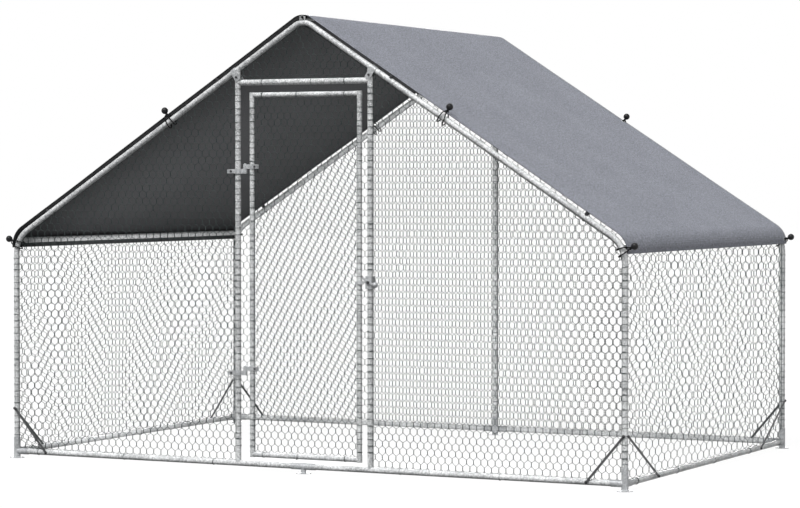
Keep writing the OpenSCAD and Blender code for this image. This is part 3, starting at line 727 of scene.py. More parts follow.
@dataclass(frozen=True)
class Finishes:
    """Every finish of the run, made once."""

    tube: bpy.types.Material
    fitting: bpy.types.Material
    bolt: bpy.types.Material
    brace: bpy.types.Material
    wire: bpy.types.Material
    cloth_outside: bpy.types.Material
    cloth_inside: bpy.types.Material
    ball: bpy.types.Material
    elastic: bpy.types.Material
    thread: bpy.types.Material

    @classmethod
    def mix(cls) -> "Finishes":
        """Mixes every finish with its colours.

        Returns:
            The finishes.
        """
        recipes = {
            "tube": Galvanised("galvanised_tube", (0.38, 0.39, 0.395), (0.80, 0.81, 0.815),
                               metal=0.05, roughness=(0.14, 0.22)),
            "fitting": Galvanised("zinc_fitting", (0.30, 0.31, 0.32), (0.56, 0.57, 0.58),
                                  metal=0.25, roughness=(0.30, 0.44), crystals=260.0),
            "bolt": Galvanised("dark_bolt", (0.03, 0.03, 0.032), (0.09, 0.09, 0.094),
                               metal=0.0, roughness=(0.4, 0.55), crystals=320.0, gloss=0.08),
            "brace": DarkPaint("dark_brace", (0.035, 0.036, 0.038), (0.085, 0.087, 0.09)),
            "wire": DrawnWire("net_wire", (0.040, 0.052, 0.052), (0.078, 0.094, 0.092)),
            "cloth_outside": CoatedCloth("cover_cloth_outside", (0.085, 0.091, 0.111), (0.286, 0.299, 0.344),
                                         gloss=0.3, sheen=0.06),
            "cloth_inside": CoatedCloth("cover_cloth_inside", (0.028, 0.0285, 0.030), (0.060, 0.061, 0.064),
                                        gloss=0.08, sheen=0.0),
            "ball": MouldedPlastic("black_ball", (0.0035, 0.0035, 0.004), (0.008, 0.008, 0.009)),
            "elastic": BraidedSheath("black_elastic", (0.004, 0.004, 0.004), (0.016, 0.016, 0.017)),
            "thread": BraidedSheath("hem_thread", (0.16, 0.165, 0.18), (0.3, 0.305, 0.33)),
        }
        return cls(**{use: recipe.material() for use, recipe in recipes.items()})


# Studio


@dataclass(frozen=True)
class SunLamp:
    """A soft light from one direction, with its breadth, tilt and turn in degrees."""

    name: str
    level: float
    breadth: float
    tilt: float
    turn: float

    def build(self) -> None:
        """Sets the lamp up."""
        data = bpy.data.lights.new(self.name, "SUN")
        data.energy, data.angle = self.level, math.radians(self.breadth)
        lamp = bpy.data.objects.new(self.name, data)
        lamp.rotation_euler = (math.radians(self.tilt), 0.0, math.radians(self.turn))
        bpy.context.scene.collection.objects.link(lamp)


@dataclass
class Studio:
    """Camera, white floor and background, and soft light."""

    eye: Triple = (5.578, -11.149, 1.268)
    tilt: float = math.radians(88.584)
    turn: float = math.radians(26.73)
    lens: float = 121.24
    sensor: float = 36.0
    shift: Span = (0.0011, -0.0104)
    sight: float = 200.0
    floor_reach: float = 40.0
    floor_depth: float = 0.0006
    floor_grey: float = 0.05
    floor_lift: float = 0.965
    sky_levels: Span = (0.04, 0.22)
    sky_span: Span = (-1.0, 0.6)
    sky_rise: float = math.radians(40)
    lamps: tuple[SunLamp, ...] = (
        SunLamp("key_light", level=3.2, breadth=32, tilt=33, turn=-14),
        SunLamp("fill_light", level=0.8, breadth=60, tilt=80, turn=72),
        SunLamp("glint_light", level=0.8, breadth=9, tilt=46, turn=20),
        SunLamp("back_light", level=1.6, breadth=18, tilt=86, turn=-153),
    )
    bounce_watts: float = 42.0
    bounce_place: Triple = (0.1, -0.86, 0.42)
    bounce_size: Span = (2.3, 0.5)
    bounce_tilt: float = math.radians(97)

    def build(self) -> None:
        """Makes the camera, floor, background and lights."""
        self.camera()
        self.floor()
        self.background()
        for lamp in self.lamps:
            lamp.build()
        self.bounce()
        bpy.context.scene.view_settings.view_transform = "Standard"

    def camera(self) -> None:
        """Makes the camera at the photograph's place."""
        data = bpy.data.cameras.new("photo_camera")
        data.lens, data.sensor_width = self.lens, self.sensor
        data.shift_x, data.shift_y = self.shift
        data.clip_end = self.sight
        camera = bpy.data.objects.new("photo_camera", data)
        camera.location = self.eye
        camera.rotation_euler = (self.tilt, 0.0, self.turn)
        bpy.context.scene.collection.objects.link(camera)
        bpy.context.scene.camera = camera

    def floor(self) -> None:
        """Makes a pale floor that reads white and keeps the run's shadow."""
        reach, z = self.floor_reach, -self.floor_depth
        corners = [(-reach, -reach, z), (reach, -reach, z), (reach, reach, z), (-reach, reach, z)]
        mesh = bpy.data.meshes.new("studio_floor")
        mesh.from_pydata(corners, [], [(0, 1, 2, 3)])
        material = bpy.data.materials.new("studio_floor")
        material.use_nodes = True
        board = NodeBoard(material.node_tree)
        matt = board.add("ShaderNodeBsdfDiffuse", (self.floor_grey,) * 3 + (1.0,))
        level = board.combine("MULTIPLY", board.seen_directly(), self.floor_lift)
        glow = board.feed(board.add("ShaderNodeEmission"), Strength=level)
        both = board.add("ShaderNodeAddShader", matt.outputs[0], glow.outputs[0])
        board.add("ShaderNodeOutputMaterial", both.outputs[0])
        mesh.materials.append(material)
        floor = bpy.data.objects.new("studio_floor", mesh)
        bpy.context.scene.collection.objects.link(floor)

    def sky_slope(self, board: NodeBoard) -> bpy.types.NodeSocket:
        """Adds a strength that is low behind the run and high above it on the camera's side.

        Args:
            board: The world's node tree.

        Returns:
            The strength.
        """
        level = math.cos(self.sky_rise)
        bright = (level * math.sin(self.turn), -level * math.cos(self.turn), math.sin(self.sky_rise))
        rays = board.add("ShaderNodeTexCoord").outputs["Generated"]
        side = board.add("ShaderNodeVectorMath", rays, bright, operation="DOT_PRODUCT")
        slope = board.add("ShaderNodeMapRange", interpolation_type="SMOOTHSTEP")
        board.feed(slope, Value=side.outputs["Value"], From_Min=self.sky_span[0], From_Max=self.sky_span[1],
                   To_Min=self.sky_levels[0], To_Max=self.sky_levels[1])
        return slope.outputs["Result"]

    def background(self) -> None:
        """Makes a background that shows white and lights softly."""
        world = bpy.data.worlds.new("studio_sky")
        world.use_nodes = True
        board = NodeBoard(world.node_tree)
        white = (1.0,) * 4
        soft = board.add("ShaderNodeBackground", white, self.sky_slope(board))
        plain = board.add("ShaderNodeBackground", white)
        choice = board.add("ShaderNodeMixShader", board.seen_directly(), soft.outputs[0], plain.outputs[0])
        board.add("ShaderNodeOutputWorld", choice.outputs[0])
        bpy.context.scene.world = world

    def bounce(self) -> None:
        """Makes the soft light that a white floor throws on the rear tubes and the inside of the cover."""
        data = bpy.data.lights.new("bounce_light", "AREA")
        data.energy, data.shape = self.bounce_watts, "RECTANGLE"
        data.size, data.size_y = self.bounce_size
        lamp = bpy.data.objects.new("bounce_light", data)
        lamp.location = self.bounce_place
        lamp.rotation_euler = (self.bounce_tilt, 0.0, 0.0)
        lamp.visible_camera = lamp.visible_glossy = False
        bpy.context.scene.collection.objects.link(lamp)


# Tube frame


@dataclass
class TubeFrame:
    """Tubes, feet, fittings and bolts of the frame, the door and the latch, with their welds and screws.

    A screw's or washer's edge is given as the shares of its radius and of its height where it is cut off.
    """

    sizes: RunSizes
    finishes: Finishes
    bead_r: float = 0.0020
    bead_ripple: float = 0.0005
    bead_ripples: int = 26
    ripple_steps: int = 3
    bead_sides: int = 6
    disc_t: float = 0.003
    sleeve_wall: float = 0.0022
    stem_r: float = 0.011
    core_r: float = 0.0002
    screw_r: float = 0.0042
    screw_h: float = 0.0036
    screw_edge: Span = (0.82, 0.8)
    screw_sides: int = 6
    washer_r: float = 0.0068
    washer_t: float = 0.0010
    washer_edge: Span = (0.9, 0.6)
    washer_sides: int = 20

    def build(self) -> None:
        """Dresses the frame's own nodes and adds the welds and screws."""
        self.dress()
        self.weld_beads()
        self.brace_screws()

    def dress(self) -> None:
        """Gives each CAD node that stays the finish of its slot."""
        by_slot = {"galvanised_tube": self.finishes.tube, "zinc_fitting": self.finishes.fitting,
                   "dark_bolt": self.finishes.bolt, "dark_brace": self.finishes.brace}
        for part in frame["record"]["subparts"]:
            material = by_slot.get(part["material_slot"])
            if material is not None:
                for slot in frame["nodes"][part["node"]].material_slots:
                    slot.material = material
                log.info("%s: dressed in %s", part["node"], material.name)

    def bead_ring(self, draft: MeshDraft, centre: np.ndarray, radius: float) -> None:
        """Draws a rippled weld bead round an upright joint.

        Args:
            draft: Where it is drawn.
            centre: Middle of the ring.
            radius: Radius of the bead's middle line.
        """
        steps = self.ripple_steps * self.bead_ripples
        turn = 2 * math.pi * np.arange(steps + 1) / steps
        spoke = spokes(turn, -NORTH, EAST)
        thick = self.bead_r + self.bead_ripple * np.sin(turn * self.bead_ripples)
        ring = thick[:, None, None] * spokes(around(self.bead_sides), UP, spoke[:, None])
        draft.add_tubes((centre + radius * spoke[:, None] + ring)[None], capped=False)

    def weld_beads(self) -> None:
        """Lays a weld bead on the disc of each foot, round the sleeve or stem that stands on it."""
        s, draft = self.sizes, MeshDraft()
        sleeve_r = s.tube_r + self.sleeve_wall
        joints = [(side * s.post_x, end, sleeve_r) for side in (LEFT, RIGHT) for end in (FRONT, REAR)]
        joints += [(0.0, FRONT, self.stem_r), (0.0, REAR, sleeve_r)]
        for x, end, radius in joints:
            self.bead_ring(draft, np.array([x, end * s.post_y, self.disc_t]), radius)
        draft.finish("weld_beads", "frame", "zinc_fitting", [self.finishes.fitting])

    def hex_screw(self, draft: MeshDraft, place: np.ndarray, axis: np.ndarray) -> None:
        """Draws a hexagon screw head on a washer.

        Args:
            draft: Where it is drawn.
            place: Where the washer lies.
            axis: Direction that the head points in.
        """
        washer = (0.0, self.washer_t, self.washer_r, self.washer_edge, self.washer_sides)
        head = (self.washer_t, self.screw_h, self.screw_r, self.screw_edge, self.screw_sides)
        for base, height, radius, (edge_r, edge_h), sides in (washer, head):
            top = base + height
            profile = np.array([(self.core_r, base), (radius, base), (radius, base + height * edge_h),
                                (radius * edge_r, top), (self.core_r, top)])
            draft.add_lathe(profile, place, axis, sides)

    def brace_screws(self) -> None:
        """Screws both ends of every brace strap to its tube."""
        s, draft = self.sizes, MeshDraft()
        out = s.tube_r + s.fit_gap + s.brace_t
        for side in (LEFT, RIGHT):
            reach = s.brace_reach_left if side == LEFT else s.brace_reach_right
            for end in (FRONT, REAR):
                x, y = side * s.post_x, end * s.post_y
                for dx, z in ((0.0, s.brace_z), (s.brace_reach_front, s.rail_z)):
                    self.hex_screw(draft, np.array([x - side * dx, y + end * out, z]), end * NORTH)
                for dy, z in ((0.0, s.brace_z), (reach, s.rail_z)):
                    self.hex_screw(draft, np.array([x + side * out, y - end * dy, z]), side * EAST)
        draft.finish("brace_screws", "frame", "dark_bolt", [self.finishes.bolt])


# Netting


@dataclass(frozen=True)
class MeshGauge:
    """Sizes of the hexagonal netting.

    The bulges' waves are in radians to a metre, and shortest is the least share of a wire that is drawn.
    """

    pitch: float = 0.0330
    row: float = 0.0288
    twist: float = 0.0172
    wire_r: float = 0.00114
    strand_r: float = 0.00128
    strand_off: float = 0.00136
    selvedge_r: float = 0.0013
    wander: float = 0.0009
    bulge: float = 0.0028
    bulge_fade: float = 0.12
    broad_waves: Span = (9.1, 7.3)
    broad_shifts: Span = (1.7, 0.9)
    cross_waves: Span = (17.0, 13.0)
    cross_share: float = 0.5
    shortest: float = 0.05
    twist_rings: int = 5
    sides: int = 3
    selvedge_sides: int = 6
    map_lean: float = 0.4


def box_outline(left: float, right: float, low: float, top: float) -> np.ndarray:
    """Returns the corners of an upright rectangle, anticlockwise."""
    return np.array([[left, low], [right, low], [right, top], [left, top]])


def cut_outline(outline: np.ndarray, normal: Span, offset: float) -> np.ndarray:
    """Cuts a convex outline by a straight line.

    Args:
        outline: Points of the outline, anticlockwise.
        normal: Direction of the side that stays.
        offset: Places stay whose distance along normal is at least this.

    Returns:
        Points of the outline that stays.
    """
    kept = []
    heights = outline @ np.array(normal) - offset
    for here, ahead, a, b in zip(outline, np.roll(outline, -1, axis=0), heights, np.roll(heights, -1)):
        if a >= 0:
            kept.append(here)
        if (a >= 0) != (b >= 0):
            kept.append(here + (ahead - here) * a / (a - b))
    return np.array(kept)


def inside_depths(places: np.ndarray, outline: np.ndarray) -> np.ndarray:
    """Measures how far places lie inside a convex outline.

    Args:
        places: The places.
        outline: Points of the outline, anticlockwise.

    Returns:
        A row for each place, with its depth inside each side.
    """
    along = unit(np.roll(outline, -1, axis=0) - outline)
    inward = np.stack([-along[:, 1], along[:, 0]], axis=1)
    return np.einsum("nij,ij->ni", places[:, None] - outline[None], inward)


@dataclass
class NettingPanel:
    """One panel of twisted hexagonal wire netting."""

    node: str
    body: str
    plane: np.ndarray
    across: np.ndarray
    up: np.ndarray
    outline: np.ndarray
    seed: int
    gauge: MeshGauge = field(default_factory=MeshGauge)
    first_twist: Span = (0.0, 0.0)

    @property
    def normal(self) -> np.ndarray:
        """Direction square to the panel."""
        return np.cross(self.up, self.across)

    def build(self, material: bpy.types.Material) -> bpy.types.Object:
        """Draws the panel and puts it in the place of its plain lattice.

        Args:
            material: Finish of the wire.

        Returns:
            The new object.
        """
        g, draft = self.gauge, MeshDraft()
        twists, slants = self.lattice()
        self.draw_twists(draft, *self.trimmed(*twists))
        starts, ends = (self.place(points) for points in self.trimmed(*slants))
        draft.add_bars(starts, ends, self.normal, g.wire_r, g.sides)
        draft.add_sweep(self.place(self.outline), g.selvedge_r, g.selvedge_sides, closed=True)
        lean = g.map_lean * self.normal
        piece = draft.finish(f"{self.node}_wire", self.body, "net_wire", [material],
                             np.array([self.across + lean, self.up + lean / 2]))
        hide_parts(self.node)
        return piece

    def lattice(self) -> tuple[tuple[np.ndarray, np.ndarray], tuple[np.ndarray, np.ndarray]]:
        """Places of the twists and of the slanting wires between them, in the panel's plane.

        Returns:
            Feet and heads of the twists, then starts and ends of the slants.
        """
        g = self.gauge
        start, cell = np.array(self.first_twist), np.array([g.pitch, g.row])
        low = np.floor((self.outline.min(axis=0) - start) / cell).astype(int) - 1
        high = np.ceil((self.outline.max(axis=0) - start) / cell).astype(int) + 2
        i, j = np.meshgrid(np.arange(low[0], high[0]), np.arange(low[1] - low[1] % 2, high[1]), indexing="ij")
        spots = start + np.stack([(i + 0.5 * (j % 2)) * g.pitch, j * g.row], axis=-1)
        draw = np.random.default_rng(self.seed)
        spots = spots + draw.normal(0.0, g.wander, spots.shape)
        feet = spots - [0, g.twist / 2] + draw.normal(0.0, g.wander / 3, spots.shape)
        heads = spots + [0, g.twist / 2] + draw.normal(0.0, g.wander / 3, spots.shape)
        starts, ends = [], []
        for first in (0, 1):
            lower = heads[:, first:-1:2]
            upper = feet[:, first + 1::2]
            pairs = [(lower, upper)]
            pairs.append((lower[1:], upper[:-1]) if first == 0 else (lower[:-1], upper[1:]))
            for a, b in pairs:
                starts.append(a.reshape(-1, 2))
                ends.append(b.reshape(-1, 2))
        return (feet.reshape(-1, 2), heads.reshape(-1, 2)), (np.concatenate(starts), np.concatenate(ends))

    def trimmed(self, starts: np.ndarray, ends: np.ndarray) -> tuple[np.ndarray, np.ndarray]:
        """Cuts wires off at the panel's outline.

        Args:
            starts: First ends of the wires.
            ends: Second ends.

        Returns:
            Starts and ends of what lies inside.
        """
        a, b = inside_depths(starts, self.outline), inside_depths(ends, self.outline)
        share = a / np.where(a == b, 1.0, a - b)
        enter = np.where((a < 0) & (b >= 0), share, 0.0).max(axis=1)
        leave = np.where((a >= 0) & (b < 0), share, 1.0).min(axis=1)
        stays = ~((a < 0) & (b < 0)).any(axis=1) & (leave - enter > self.gauge.shortest)
        starts, ends, enter, leave = starts[stays], ends[stays], enter[stays, None], leave[stays, None]
        return starts + (ends - starts) * enter, starts + (ends - starts) * leave

    def place(self, points: np.ndarray) -> np.ndarray:
        """Puts places of the panel's plane in space, with the netting's slight bulges.

        Args:
            points: Places in the plane.

        Returns:
            Places in space.
        """
        g = self.gauge
        depth = inside_depths(points, self.outline).min(axis=1)
        fade = np.clip(depth / g.bulge_fade, 0.0, 1.0)
        u, v = points[:, 0], points[:, 1]
        shift_u, shift_v = (shift * self.seed for shift in g.broad_shifts)
        broad = np.sin(g.broad_waves[0] * u + shift_u) * np.sin(g.broad_waves[1] * v + shift_v)
        cross = np.sin(g.cross_waves[0] * u - g.cross_waves[1] * v)
        lift = g.bulge * fade * (broad + g.cross_share * cross)
        return self.plane + u[:, None] * self.across + v[:, None] * self.up + lift[:, None] * self.normal

    def draw_twists(self, draft: MeshDraft, feet: np.ndarray, heads: np.ndarray) -> None:
        """Draws each twist as two strands wound once round each other.

        Args:
            draft: Where they are drawn.
            feet: Lower ends.
            heads: Upper ends.
        """
        g = self.gauge
        low, high = self.place(feet), self.place(heads)
        share = np.linspace(0.0, 1.0, g.twist_rings)
        axis = low[:, None] + (high - low)[:, None] * share[None, :, None]
        rim = g.strand_r * spokes(around(g.sides), self.across, self.normal)
        for start in (0.0, math.pi):
            off = g.strand_off * spokes(start + 2 * math.pi * share, self.across, self.normal)
            draft.add_tubes((axis + off[None])[:, :, None] + rim[None, None])


@dataclass
class Netting:
    """All the netting panels of the walls and the door."""

    sizes: RunSizes
    finishes: Finishes
    edge_gap: float = 0.0015
    side_top: float = 0.972
    gauges: dict[str, MeshGauge] = field(default_factory=lambda: {
        "net_front_left": MeshGauge(0.0361, 0.0300, 0.0180),
        "net_rear_left": MeshGauge(0.03941, 0.03440, 0.0205),
        "net_rear_right": MeshGauge(0.0401, 0.03440, 0.0205),
        "net_left": MeshGauge(0.0650, 0.0320, 0.0190, wander=0.0015),
        "net_right": MeshGauge(0.0720, 0.0334, 0.0200, wander=0.0015),
    })
    first_twists: dict[str, Span] = field(default_factory=lambda: {
        "net_rear_left": (-1.0644, -0.2465),
        "net_rear_right": (-1.1203, -0.2465),
        "net_door": (-0.0110, 0.0144),
    })

    def panels(self) -> list[NettingPanel]:
        """Cuts the outline of every panel to the tubes round it.

        Returns:
            The panels, each with a seed of its own.
        """
        s = self.sizes
        edge, door_edge = s.tube_r + self.edge_gap, s.door_r + self.edge_gap
        front, rear = (end * s.post_y * NORTH for end in (FRONT, REAR))
        gable = s.gable_outline(edge)
        above_rail = cut_outline(gable, (0.0, 1.0), s.rail_z + edge)
        reach = s.post_y - edge
        wall = box_outline(-reach, reach, s.rail_z + edge, self.side_top)
        over_door = cut_outline(gable, (0.0, 1.0), s.header_z + edge)
        walls = []
        for side, name in ((LEFT, "left"), (RIGHT, "right")):
            bay = cut_outline(above_rail, (side, 0.0), s.jamb_x + edge)
            half = cut_outline(above_rail, (side, 0.0), edge)
            over_door = cut_outline(over_door, (side, 0.0), edge - s.jamb_x)
            walls += [(f"net_front_{name}", "frame", front, EAST, bay),
                      (f"net_rear_{name}", "frame", rear, EAST, half),
                      (f"net_{name}", "frame", side * s.post_x * EAST, NORTH, wall)]
        walls.append(("net_gable", "frame", front, EAST, over_door))
        leaf = box_outline(s.hinge_stile_x + door_edge, s.latch_stile_x - door_edge,
                           s.door_low_z + door_edge, s.door_top_z - door_edge)
        walls.append(("net_door", "door", front, EAST, leaf))
        return [NettingPanel(node, body, plane, across, UP, outline, seed, self.gauges.get(node, MeshGauge()),
                             self.first_twists.get(node, (0.0, 0.0)))
                for seed, (node, body, plane, across, outline) in enumerate(walls, 1)]

    def build(self) -> None:
        """Draws every panel."""
        for panel in self.panels():
            panel.build(self.finishes.wire)


# Lacing


class LaceStyle(Enum):
    """How netting is fastened to a tube."""

    WRAP = "wrap"
    TIE = "tie"


@dataclass(frozen=True)
class LacedTube:
    """A straight tube with the places along it where wire goes round."""

    start: np.ndarray
    axis: np.ndarray
    radius: float
    places: np.ndarray
    style: LaceStyle


def evenly(low: float, high: float, step: float, skips: tuple[Span, ...] = ()) -> np.ndarray:
    """Spaces places evenly along a tube.

    Args:
        low: First place.
        high: Last place at most.
        step: Distance between them.
        skips: Stretches with a fitting in the way.

    Returns:
        The places.
    """
    places = np.arange(low, high, step)
    for first, last in skips:
        places = places[(places < first) | (places > last)]
    return places


@dataclass
class WireLacing:
    """Wire ends wound round the tubes at every row, and twisted ties on the header and the door.

    The gaps are what is left free of wire beside a fitting or at a tube's end.
    """

    sizes: RunSizes
    finishes: Finishes
    gauge: MeshGauge = field(default_factory=MeshGauge)
    wire_r: float = 0.0010
    turns: float = 1.3
    tie_turns: float = 2.0
    rise: float = 0.0050
    rise_shares: Span = (0.4, 1.5)
    rings: int = 18
    sides: int = 4
    scatter: float = 0.0025
    rail_step: float = 0.46
    tail_l: float = 0.013
    tail_turns: float = 1.5
    tail_rings: int = 7
    header_ties: tuple[float, ...] = (-0.201, 0.039, 0.201)
    door_ties: tuple[float, ...] = (-0.200, -0.030, 0.200)
    end_gap: float = 0.01
    header_gap: float = 0.02
    corner_gap: float = 0.12
    foot_gap: float = 0.08
    jamb_gap: float = 0.03
    door_low_gap: float = 0.035
    door_top_gap: float = 0.03
    fitting_gap: float = 0.006
    fittings_apart: float = 0.1
    map_axes: tuple[Triple, Triple] = ((1.0, 0.37, 0.21), (0.13, 0.29, 1.0))
    seed: int = 71

    def build(self) -> None:
        """Draws the lacing of each body."""
        draw = np.random.default_rng(self.seed)
        for body, tubes in (("frame", self.frame_tubes()), ("door", self.door_tubes())):
            draft = MeshDraft()
            for tube in tubes:
                self.lace(draft, tube, draw)
            draft.finish(f"lacing_{body}", body, "net_wire", [self.finishes.wire], np.array(self.map_axes))

    def upright(self, x: float, y: float, low: float, high: float, radius: float,
                skips: tuple[Span, ...] = ()) -> LacedTube:
        """Returns an upright tube wound at every row of the netting."""
        places = evenly(low, high, self.gauge.row, skips)
        return LacedTube(np.array([x, y, 0.0]), UP, radius, places, LaceStyle.WRAP)

    def fittings(self, node: str) -> tuple[Span, ...]:
        """Finds the heights that a clamp node takes up on its tube.

        Args:
            node: Name of the CAD node.

        Returns:
            The low and high end of each of its solids, with a little room.
        """
        heights = np.sort(np.array([v.co[2] for v in frame["nodes"][node].data.vertices]))
        breaks = np.nonzero(np.diff(heights) > self.fittings_apart)[0]
        lows = heights[np.concatenate([[0], breaks + 1])]
        highs = heights[np.concatenate([breaks, [-1]])]
        return tuple((low - self.fitting_gap, high + self.fitting_gap) for low, high in zip(lows, highs))

    def frame_tubes(self) -> list[LacedTube]:
        """Lists the laced tubes of the frame: uprights, header and ground rails.

        Returns:
            The tubes.
        """
        s, y, radius = self.sizes, self.sizes.post_y, self.sizes.tube_r
        base, post_top = s.sleeve_top + self.end_gap, s.elbow_z - self.end_gap
        jamb_top = s.header_z - self.header_gap
        tubes = [self.upright(side * s.post_x, end * y, base, post_top, radius)
                 for side in (LEFT, RIGHT) for end in (FRONT, REAR)]
        for side, node in ((LEFT, "hinge_pintles"), (RIGHT, "latch_body")):
            tubes.append(self.upright(side * s.jamb_x, -y, base, jamb_top, radius, self.fittings(node)))
        tubes.append(self.upright(0.0, y, base, s.ridge_centre_z, radius))
        header = np.array([0.0, -y, s.header_z])
        tubes.append(LacedTube(header, EAST, radius, np.array(self.header_ties), LaceStyle.TIE))
        joints = ((0.0, self.foot_gap), (-s.jamb_x, self.jamb_gap), (s.jamb_x, self.jamb_gap))
        skips = tuple((x - gap, x + gap) for x, gap in joints)
        reach = s.post_x - self.corner_gap
        places = evenly(-reach, reach, self.rail_step, skips)
        for end in (FRONT, REAR):
            start = np.array([0.0, end * y, s.rail_z])
            tubes.append(LacedTube(start, EAST, radius, places, LaceStyle.WRAP))
        reach = y - self.corner_gap
        places = evenly(-reach, reach, self.rail_step)
        for side in (LEFT, RIGHT):
            start = np.array([side * s.post_x, 0.0, s.rail_z])
            tubes.append(LacedTube(start, NORTH, radius, places, LaceStyle.WRAP))
        return tubes

    def door_tubes(self) -> list[LacedTube]:
        """Lists the laced tubes of the door: two stiles and two rails.

        Returns:
            The tubes.
        """
        s, y = self.sizes, -self.sizes.post_y
        low, high = s.door_low_z + self.door_low_gap, s.door_top_z - self.door_top_gap
        tubes = [self.upright(x, y, low, high, s.door_r, self.fittings(node))
                 for x, node in ((s.hinge_stile_x, "hinge_eyes"), (s.latch_stile_x, "latch_keeper"))]
        for z in (s.door_low_z, s.door_top_z):
            ties = np.array(self.door_ties)
            tubes.append(LacedTube(np.array([0.0, y, z]), EAST, s.door_r, ties, LaceStyle.TIE))
        return tubes

    def lace(self, draft: MeshDraft, tube: LacedTube, draw: np.random.Generator) -> None:
        """Winds wire round one tube at each of its places.

        Args:
            draft: Where it is drawn.
            tube: The tube and its places.
            draw: Random numbers for the small differences between turns.
        """
        axis, count = tube.axis, len(tube.places)
        turns = self.turns if tube.style is LaceStyle.WRAP else self.tie_turns
        along = tube.places + draw.normal(0.0, self.scatter, count)
        phase = draw.uniform(0.0, 2 * math.pi, count)
        rise = self.rise * draw.uniform(*self.rise_shares, count)
        share = np.linspace(0.0, 1.0, self.rings)
        out = -spokes(phase[:, None] + 2 * math.pi * turns * share[None], *square_pair(axis))
        climb = along[:, None, None] + (share[None, :, None] - 0.5) * rise[:, None, None]
        line = tube.start + climb * axis + (tube.radius + self.wire_r) * out
        draft.add_tubes(line[:, :, None] + self.wire_r * spokes(around(self.sides), axis, out[:, :, None]))
        if tube.style is LaceStyle.TIE:
            self.tails(draft, line[:, -1], out[:, -1], axis)

    def tails(self, draft: MeshDraft, places: np.ndarray, outs: np.ndarray, axis: np.ndarray) -> None:
        """Draws the twisted tail that each tie ends in.

        Args:
            draft: Where they are drawn.
            places: Where each tail starts.
            outs: Direction of each away from its tube.
            axis: The tube's direction.
        """
        share = np.linspace(0.0, 1.0, self.tail_rings)
        for place, out in zip(places, outs):
            third = np.cross(axis, out)
            rim = self.wire_r * spokes(around(self.sides), axis, third)
            for start in (0.0, math.pi):
                off = self.wire_r * spokes(start + 2 * math.pi * self.tail_turns * share, axis, third)
                line = place + self.tail_l * share[:, None] * out + off
                draft.add_tubes((line[:, None] + rim[None])[None])


# Roof cover


def bend_rows(x: float, z: float, radius: float, angles: np.ndarray) -> np.ndarray:
    """Returns x, z and the outward direction's x and z at angles round a bend's centre."""
    out = np.stack([np.cos(angles), np.sin(angles)], axis=1)
    return np.hstack([np.array([x, z]) + radius * out, out])


